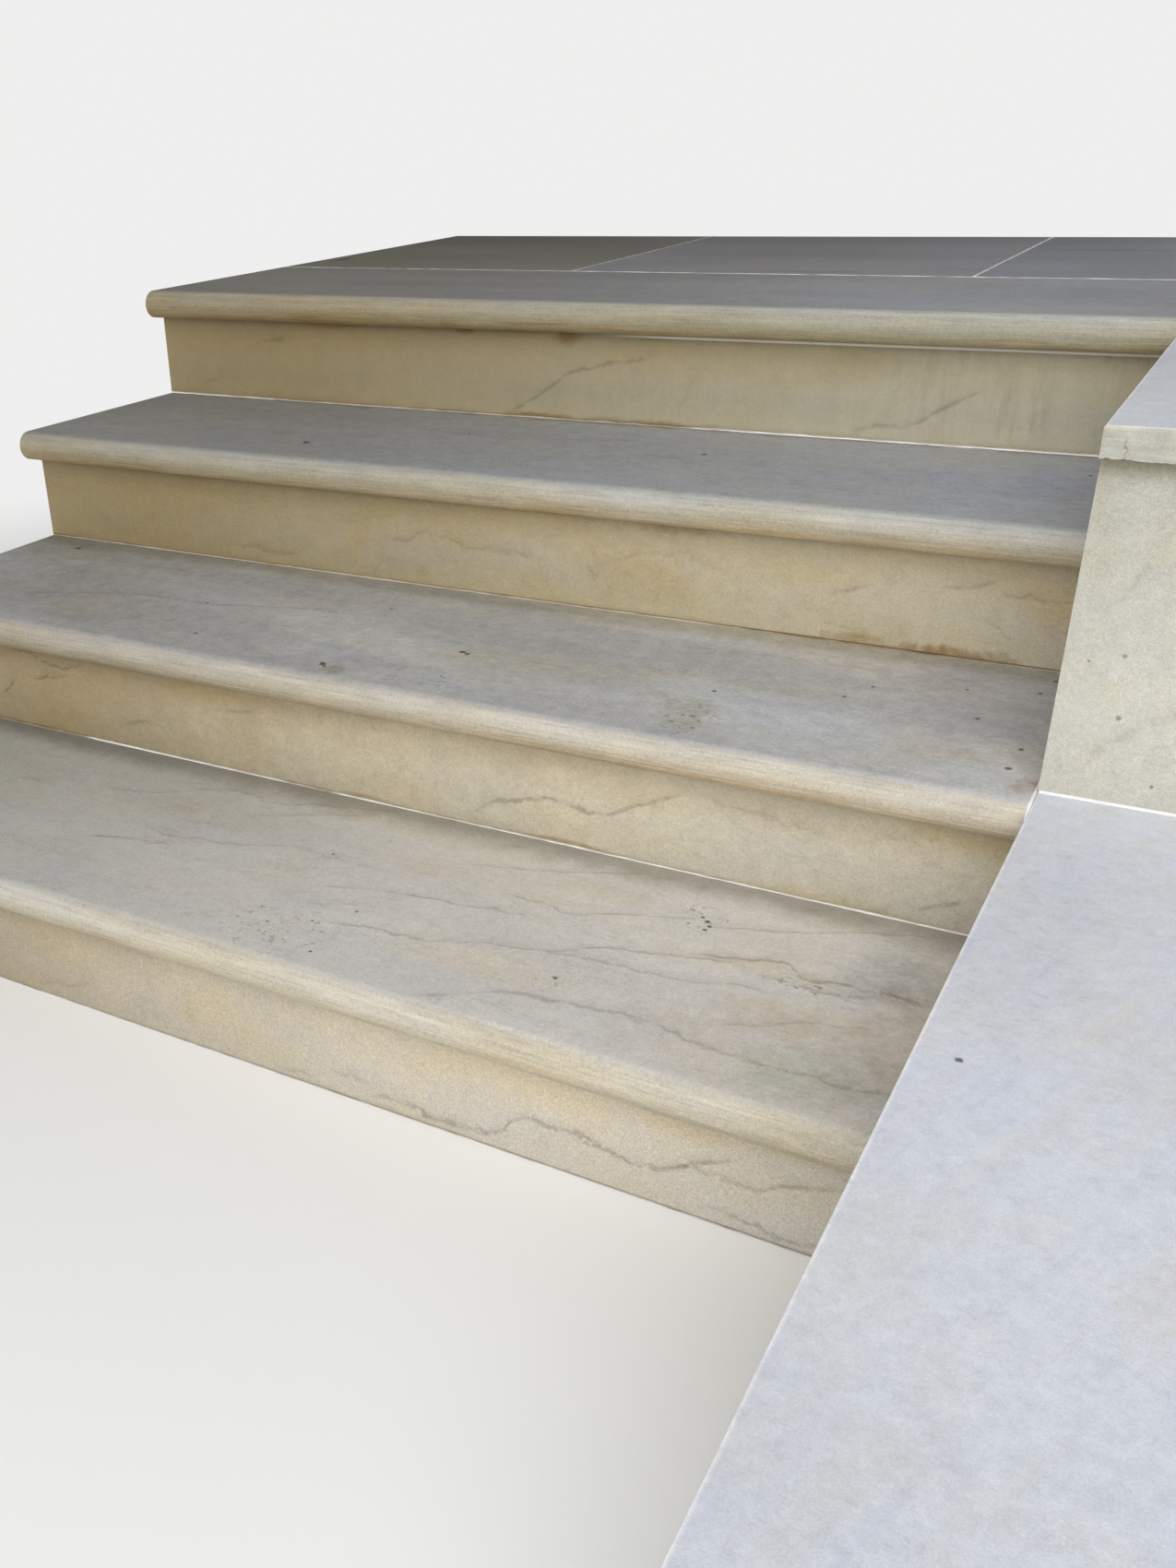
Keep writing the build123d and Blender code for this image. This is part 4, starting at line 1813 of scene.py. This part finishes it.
@dataclass
class CheekWall:
    """The stepped wall on the right: cladding, copings and their joints.

    outer is the outer face, edge the copings' outer edge, and split_edge the height
    of the ragged strip at the foot of the split front.
    """

    yard: Yard
    masonry: Masonry
    outer: float = 1760.0
    edge: float = 1780.0
    cladding: float = 20.0
    lower_front: float = -648.0
    upper_front: float = 312.0
    coping_advance: float = 20.0
    coping_radius: float = 2.0
    coping_segments: int = 4
    coping_length: float = 1000.0
    split_cuts: int = 120
    split_edge: float = 5.0
    core_top: float = 293.5
    upper_top: float = 612.5
    slab: float = 640.0
    slab_arris: float = 0.7
    joint: float = 3.0
    block_course: float = 225.0

    @cached_property
    def cladding_stone(self) -> bpy.types.Material:
        """The pale granular stone of the wall's faces, with grey bands aslant, painted shade towards the top
        and a painted shadow below the upper copings.
        """
        look = Stone("cladding_stone", CLADDING, Across.HEIGHT)
        look.veins(CLADDING_VEINS)
        coarse = look.noise(3.4, 2.0, rough=0.7) - 0.5
        # Painted shade: darker towards the top of the face.
        look.tint(look.z.ease(380.0, 600.0), (0.76, 0.76, 0.75))
        # Painted shadow of the upper copings: a warm darker band along the top of the face.
        below = (look.z + (look.wear - 0.5) * 14.0).ease(595.0, 610.0)
        look.tint(below, (0.84, 0.79, 0.68))
        look.colour = look.colour * (1.0 + coarse * 0.3)
        look.specks(CLADDING_SPECKS, (0.5, 0.48, 0.44))
        return look.done(coarse * 0.25)

    def slab_row(self, name: str, node: str, side: Point, limits: Point, heights: Point) -> None:
        """Models a row of cladding slabs, whole ones and a cut last one.

        Args:
            name: The piece's name.
            node: The node that it stands for.
            side: Its limits in x.
            limits: Its limits in y.
            heights: Its limits in z.
        """
        slabs, start = [], limits[0]
        while start < limits[1]:
            end = min(start + self.slab, limits[1])
            slab = Bench.block(name, (side[0], start, heights[0]), (side[1], end, heights[1]))
            Bench.round_edges(slab, self.slab_arris, lambda at, way: True)
            slabs.append(slab)
            start = end + self.joint
        piece = Bench.join(name, slabs)
        Bench.smooth(piece)
        self.yard.set(piece, Slot.CLADDING, [self.cladding_stone], node)

    def faces(self) -> None:
        """Builds the cladding of both sides and both ends."""
        inner = (WALL_FACE, WALL_FACE + self.cladding)
        outer = (self.outer - self.cladding, self.outer)
        low_start, up_start = self.lower_front + self.cladding, self.upper_front + self.cladding
        lower, upper = (0.0, self.core_top), (self.core_top + self.joint, self.upper_top)
        inner_end = riser_back(STEPS)
        self.slab_row("inner_facing_lower", "inner_cladding_lower", inner, (low_start, inner_end), lower)
        self.slab_row("inner_facing_upper", "inner_cladding_upper", inner, (up_start, inner_end), upper)
        self.slab_row("outer_facing_lower", "outer_cladding_lower", outer, (low_start, HOUSE), lower)
        self.slab_row("outer_facing_upper", "outer_cladding_upper", outer, (up_start, HOUSE), upper)
        across = (WALL_FACE, self.outer)
        end = (self.lower_front, low_start)
        self.slab_row("end_facing", "lower_wall_end_cladding", across, end, lower)
        front = (self.upper_front, up_start)
        heights = (level(2) + self.joint, self.upper_top)
        self.slab_row("front_facing", "upper_wall_front_cladding", across, front, heights)

    def coping(
        self,
        name: str,
        node: str,
        limits: Point,
        top: float,
        stone: bpy.types.Material,
        split: bool = False,
        ends_in_joint: bool = False,
    ) -> None:
        """Models a coping stone with rounded arrises.

        Args:
            name: The piece's name.
            node: The node that it stands for.
            limits: Its limits in y.
            top: Its upper side.
            stone: Its material.
            split: Whether its front face is split, with a ragged lower edge.
            ends_in_joint: Whether its front end is hidden in a joint and stays square.
        """
        low, high = (WALL_FACE, limits[0], top - COPING), (self.edge, limits[1], top)
        piece = Bench.block(name, low, high)

        def arris(at: Vector, way: Vector) -> bool:
            """Whether an edge runs round the top where it shows."""
            along = abs(way.y) > ALIGNED
            return near(at.z, top) and (along or (not ends_in_joint and near(at.y, limits[0])))

        Bench.round_edges(piece, self.coping_radius, arris, self.coping_segments)
        if split:
            self._split_front(piece, limits[0], top - COPING)
        Bench.smooth(piece)
        self.yard.set(piece, Slot.COPING, [stone], node)

    def _split_front(self, piece: bpy.types.Object, front: float, base: float) -> None:
        """Gives a coping's front face its split surface and ragged lower edge.

        Args:
            piece: The coping.
            front: The depth of its front.
            base: The height of its underside.
        """
        edge = base + self.split_edge
        Bench.divide(piece, self.split_cuts, lambda at, way: abs(way.x) > ALIGNED)
        with Bench.editing(piece):
            Bench.choose(piece, Pick.FACE, lambda at, way: way.y < -ALIGNED and near(at.y, front))
            bpy.ops.mesh.bisect(plane_co=CORNER + Vector((0, 0, edge)) * MM, plane_no=(0, 0, 1))
            bpy.ops.mesh.select_all(action="SELECT")
            behind = CORNER + Vector((0, front + self.split_edge, 0)) * MM
            bpy.ops.mesh.bisect(plane_co=behind, plane_no=(0, 1, 0))
        Bench.roughen(piece, 1.0, 5, lambda at, way: near(at.y, front) and near(at.z, base))
        Bench.roughen(piece, 0.5, 6, lambda at, way: near(at.y, front) and near(at.z, edge))

    @staticmethod
    def _split_stone(front: float, top: float) -> bpy.types.Material:
        """The stone of the upper copings, with a warm, layered and cracked front.

        Args:
            front: The depth of their front.
            top: The height of their top.

        Returns:
            The finished material.
        """
        look = CopingStone("upper_coping_stone", UPPER_COPING)
        face = look.y.ease(front + 1.5, front + 0.3)
        layers = look.noise(3.2, 3.0, (18.0, 1.0, 1.0), 4.2, 0.6) - 0.5
        look.tint(face, (0.58, 0.55, 0.445))
        look.colour = look.colour * (1.0 + layers * face * 0.6)
        waver = (look.noise(7.0, 2.0, shift=1.6) - 0.5) * 9.0
        crack = abs(look.x + waver - 1498.0).ease(0.9, 0.3) * face
        look.tint(crack * look.z.ease(top - 6.0, top - 13.0), (0.70, 0.65, 0.56))
        look.paint_arris_highlight(front, top)
        return look.done()

    def lower_coping(self) -> None:
        """Builds the coping over the lower wall, with painted shade that darkens it towards its free end."""
        front, top = self.lower_front - self.coping_advance, level(2)
        look = CopingStone("lower_coping_stone", LOWER_COPING)
        look.specks(((1509, -128, 2.7),))
        look.stains(LOWER_COPING_STAINS)
        look.flecks(LOWER_COPING_FLECKS, 0.60)
        # Painted shade: darker towards the free front end, lighter towards the back.
        light = look.y.ease(-640.0, -200.0) * 0.12 + look.y.ease(-100.0, 250.0) * 0.06 + 0.895
        look.colour = look.colour * light
        look.paint_arris_highlight(front, top)
        limits = (front, self.upper_front + self.cladding)
        self.coping("lower_coping_stone", "lower_coping", limits, top, look.done())

    def upper_copings(self) -> None:
        """Builds the two copings over the upper wall, of which the front one is split."""
        front, top = self.upper_front - self.coping_advance, level(STEPS)
        middle = front + self.coping_length
        fore, rear = (front, middle), (middle + self.joint, HOUSE)
        stone = self._split_stone(front, top)
        self.coping("upper_coping_stone_front", "upper_coping_front", fore, top, stone, split=True)
        self.coping(
            "upper_coping_stone_back", "upper_coping_back", rear, top, stone, ends_in_joint=True
        )

    def core(self) -> None:
        """Builds the blockwork that shows at the back of the upper wall."""
        blocks = self.masonry.blocks
        step, right = riser_back(STEPS), self.outer - self.cladding
        low, high = (WALL_FACE, step, 0.0), (right, HOUSE, self.upper_top)
        tops = [self.block_course, self.block_course * 2]
        beds = [(height - blocks.joint, height) for height in tops]
        # An offset longer than the wall is wide leaves it without upright joints.
        back = blocks.row("wall_blockwork_back", low, high, beds, self.outer, left=False)
        start = (WALL_FACE + self.cladding, self.upper_front + self.cladding, 0.0)
        fore = Bench.block("wall_blockwork_front", start, (right, step, self.upper_top))
        piece = Bench.join("wall_blockwork", [back, fore])
        self.yard.set(piece, Slot.BLOCKS, self.masonry.walling, "upper_wall_core")

    def build(self) -> None:
        """Builds the wall from the ground up."""
        self.core()
        self.faces()
        self.lower_coping()
        self.upper_copings()
        self.yard.dress(self.masonry.bedding, "lower_coping_bed", "upper_coping_bed")
        self.yard.dress(
            self.masonry.pointing,
            "side_joint",
            "inner_cladding_joints",
            "outer_cladding_joints",
            "upper_wall_foot_joint",
            "upper_coping_joint",
        )
        self.yard.dress(self.masonry.walling[0], "lower_wall_core")


@dataclass(frozen=True)
class Lamp:
    """A round soft lamp that is aimed at the steps."""

    spot: Triple
    size: float
    power: float
    aim: Triple = (0.1, 0.1, 0.3)


@dataclass(frozen=True)
class Studio:
    """A pale floor, soft light and the camera at the photograph's angle.

    The floor turns as bright as the backdrop between fade_start and fade_end from the
    steps' middle. right, down and ahead are the camera's own axes.
    """

    floor: RGB = (0.80, 0.80, 0.79)
    backdrop: RGB = (0.86, 0.86, 0.855)
    sky_strength: float = 0.25
    floor_size: float = 80.0
    fade_start: float = 1.2
    fade_end: float = 2.6
    lamps: tuple[Lamp, ...] = (
        Lamp((0.9, -3.9, 2.8), 4.5, 245.0),
        Lamp((-7.0, 0.3, 0.36), 0.6, 125.0),
        Lamp((0.3, 7.6, 0.36), 0.6, 125.0),
        Lamp((7.0, 0.8, 0.36), 0.6, 105.0),
    )
    sensor: float = 36.0
    lens: float = 32.586
    clip: float = 0.05
    shift: Point = (0.1223, 0.0607)
    eye: Triple = (0.71829, -1.57326, 0.87309)
    right: Triple = (0.853261, 0.519922, -0.040339)
    down: Triple = (0.216571, -0.423664, -0.879549)
    ahead: Triple = (-0.474386, 0.741748, -0.474096)

    def camera(self) -> None:
        """Sets the camera where the photograph was taken from."""
        data = bpy.data.cameras.new("camera")
        data.sensor_width = self.sensor
        data.lens = self.lens
        data.shift_x, data.shift_y = self.shift
        data.clip_start = self.clip
        camera = bpy.data.objects.new("camera", data)
        bpy.context.scene.collection.objects.link(camera)
        columns = [Vector(self.right), -Vector(self.down), -Vector(self.ahead)]
        turn = Matrix(columns).transposed()
        camera.matrix_world = Matrix.Translation(self.eye) @ turn.to_4x4()
        bpy.context.scene.camera = camera

    def ground(self) -> None:
        """Lays the plain pale floor."""
        bpy.ops.object.select_all(action="DESELECT")
        bpy.ops.mesh.primitive_plane_add(size=self.floor_size, location=(0, 0, 0))
        floor = bpy.context.active_object
        floor.name = "studio_floor"
        shader = Shader("studio_floor")
        skin = shader.node("ShaderNodeBsdfDiffuse", None, {"Color": self.floor})
        glow = shader.node("ShaderNodeEmission", None, {"Color": self.backdrop, "Strength": 1.0})
        spot = shader.node("ShaderNodeTexCoord", output="Object")
        seen = shader.node("ShaderNodeLightPath", output="Is Camera Ray")
        share = spot.length().ease(self.fade_start, self.fade_end) * seen
        whole = shader.node("ShaderNodeMixShader", None, {0: share, 1: skin, 2: glow})
        shader.node("ShaderNodeOutputMaterial", None, {"Surface": whole})
        floor.data.materials.append(shader.material)

    def sky(self) -> None:
        """Lights the steps from all round, before a pale backdrop."""
        world = bpy.data.worlds.new("studio")
        bpy.context.scene.world = world
        world.use_nodes = True
        tree = world.node_tree
        tree.nodes.clear()
        path = tree.nodes.new("ShaderNodeLightPath")
        lit, seen = (tree.nodes.new("ShaderNodeBackground") for _ in range(2))
        seen.inputs["Color"].default_value = (*self.backdrop, 1.0)
        lit.inputs["Strength"].default_value = self.sky_strength
        lit.inputs["Color"].default_value = (1.0, 1.0, 1.0, 1.0)
        blend = tree.nodes.new("ShaderNodeMixShader")
        end = tree.nodes.new("ShaderNodeOutputWorld")
        tree.links.new(path.outputs["Is Camera Ray"], blend.inputs[0])
        tree.links.new(lit.outputs[0], blend.inputs[1])
        tree.links.new(seen.outputs[0], blend.inputs[2])
        tree.links.new(blend.outputs[0], end.inputs["Surface"])

    def lights(self) -> None:
        """Hangs the lamps, which the camera doesn't see."""
        for number, lamp in enumerate(self.lamps, 1):
            data = bpy.data.lights.new(f"lamp_{number}", "AREA")
            data.shape = "DISK"
            data.size = lamp.size
            data.energy = lamp.power
            light = bpy.data.objects.new(data.name, data)
            bpy.context.scene.collection.objects.link(light)
            light.location = lamp.spot
            way = Vector(lamp.aim) - Vector(lamp.spot)
            light.rotation_euler = way.to_track_quat("-Z", "Y").to_euler()
            light.visible_camera = False

    def build(self) -> None:
        """Sets up the studio."""
        self.camera()
        self.ground()
        self.sky()
        self.lights()
        bpy.context.scene.view_settings.view_transform = "Standard"


def main() -> None:
    """Builds the scene piece by piece."""
    logging.basicConfig(level=logging.INFO, format="%(name)s: %(message)s")
    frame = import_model()
    Studio().build()
    yard = Yard(frame["nodes"])
    bedding = Mortar("bedding_mortar", (0.46, 0.43, 0.37), (0.38, 0.35, 0.30), 1.6, 0.6).done()
    pointing = Mortar("white_pointing", (0.84, 0.83, 0.82), (0.76, 0.74, 0.71)).done()
    dense = Mortar("dense_block", (0.42, 0.41, 0.39), (0.385, 0.375, 0.355), 2.4, 1.2).done()
    joint = Mortar("block_joint", (0.52, 0.49, 0.43), (0.45, 0.42, 0.36), 1.4, 0.4).done()
    masonry = Masonry(Blocks(), (dense, joint), bedding, pointing)
    for assembly in (Flight, Landing, CheekWall):
        assembly(yard, masonry).build()


if __name__ == "__main__":
    main()
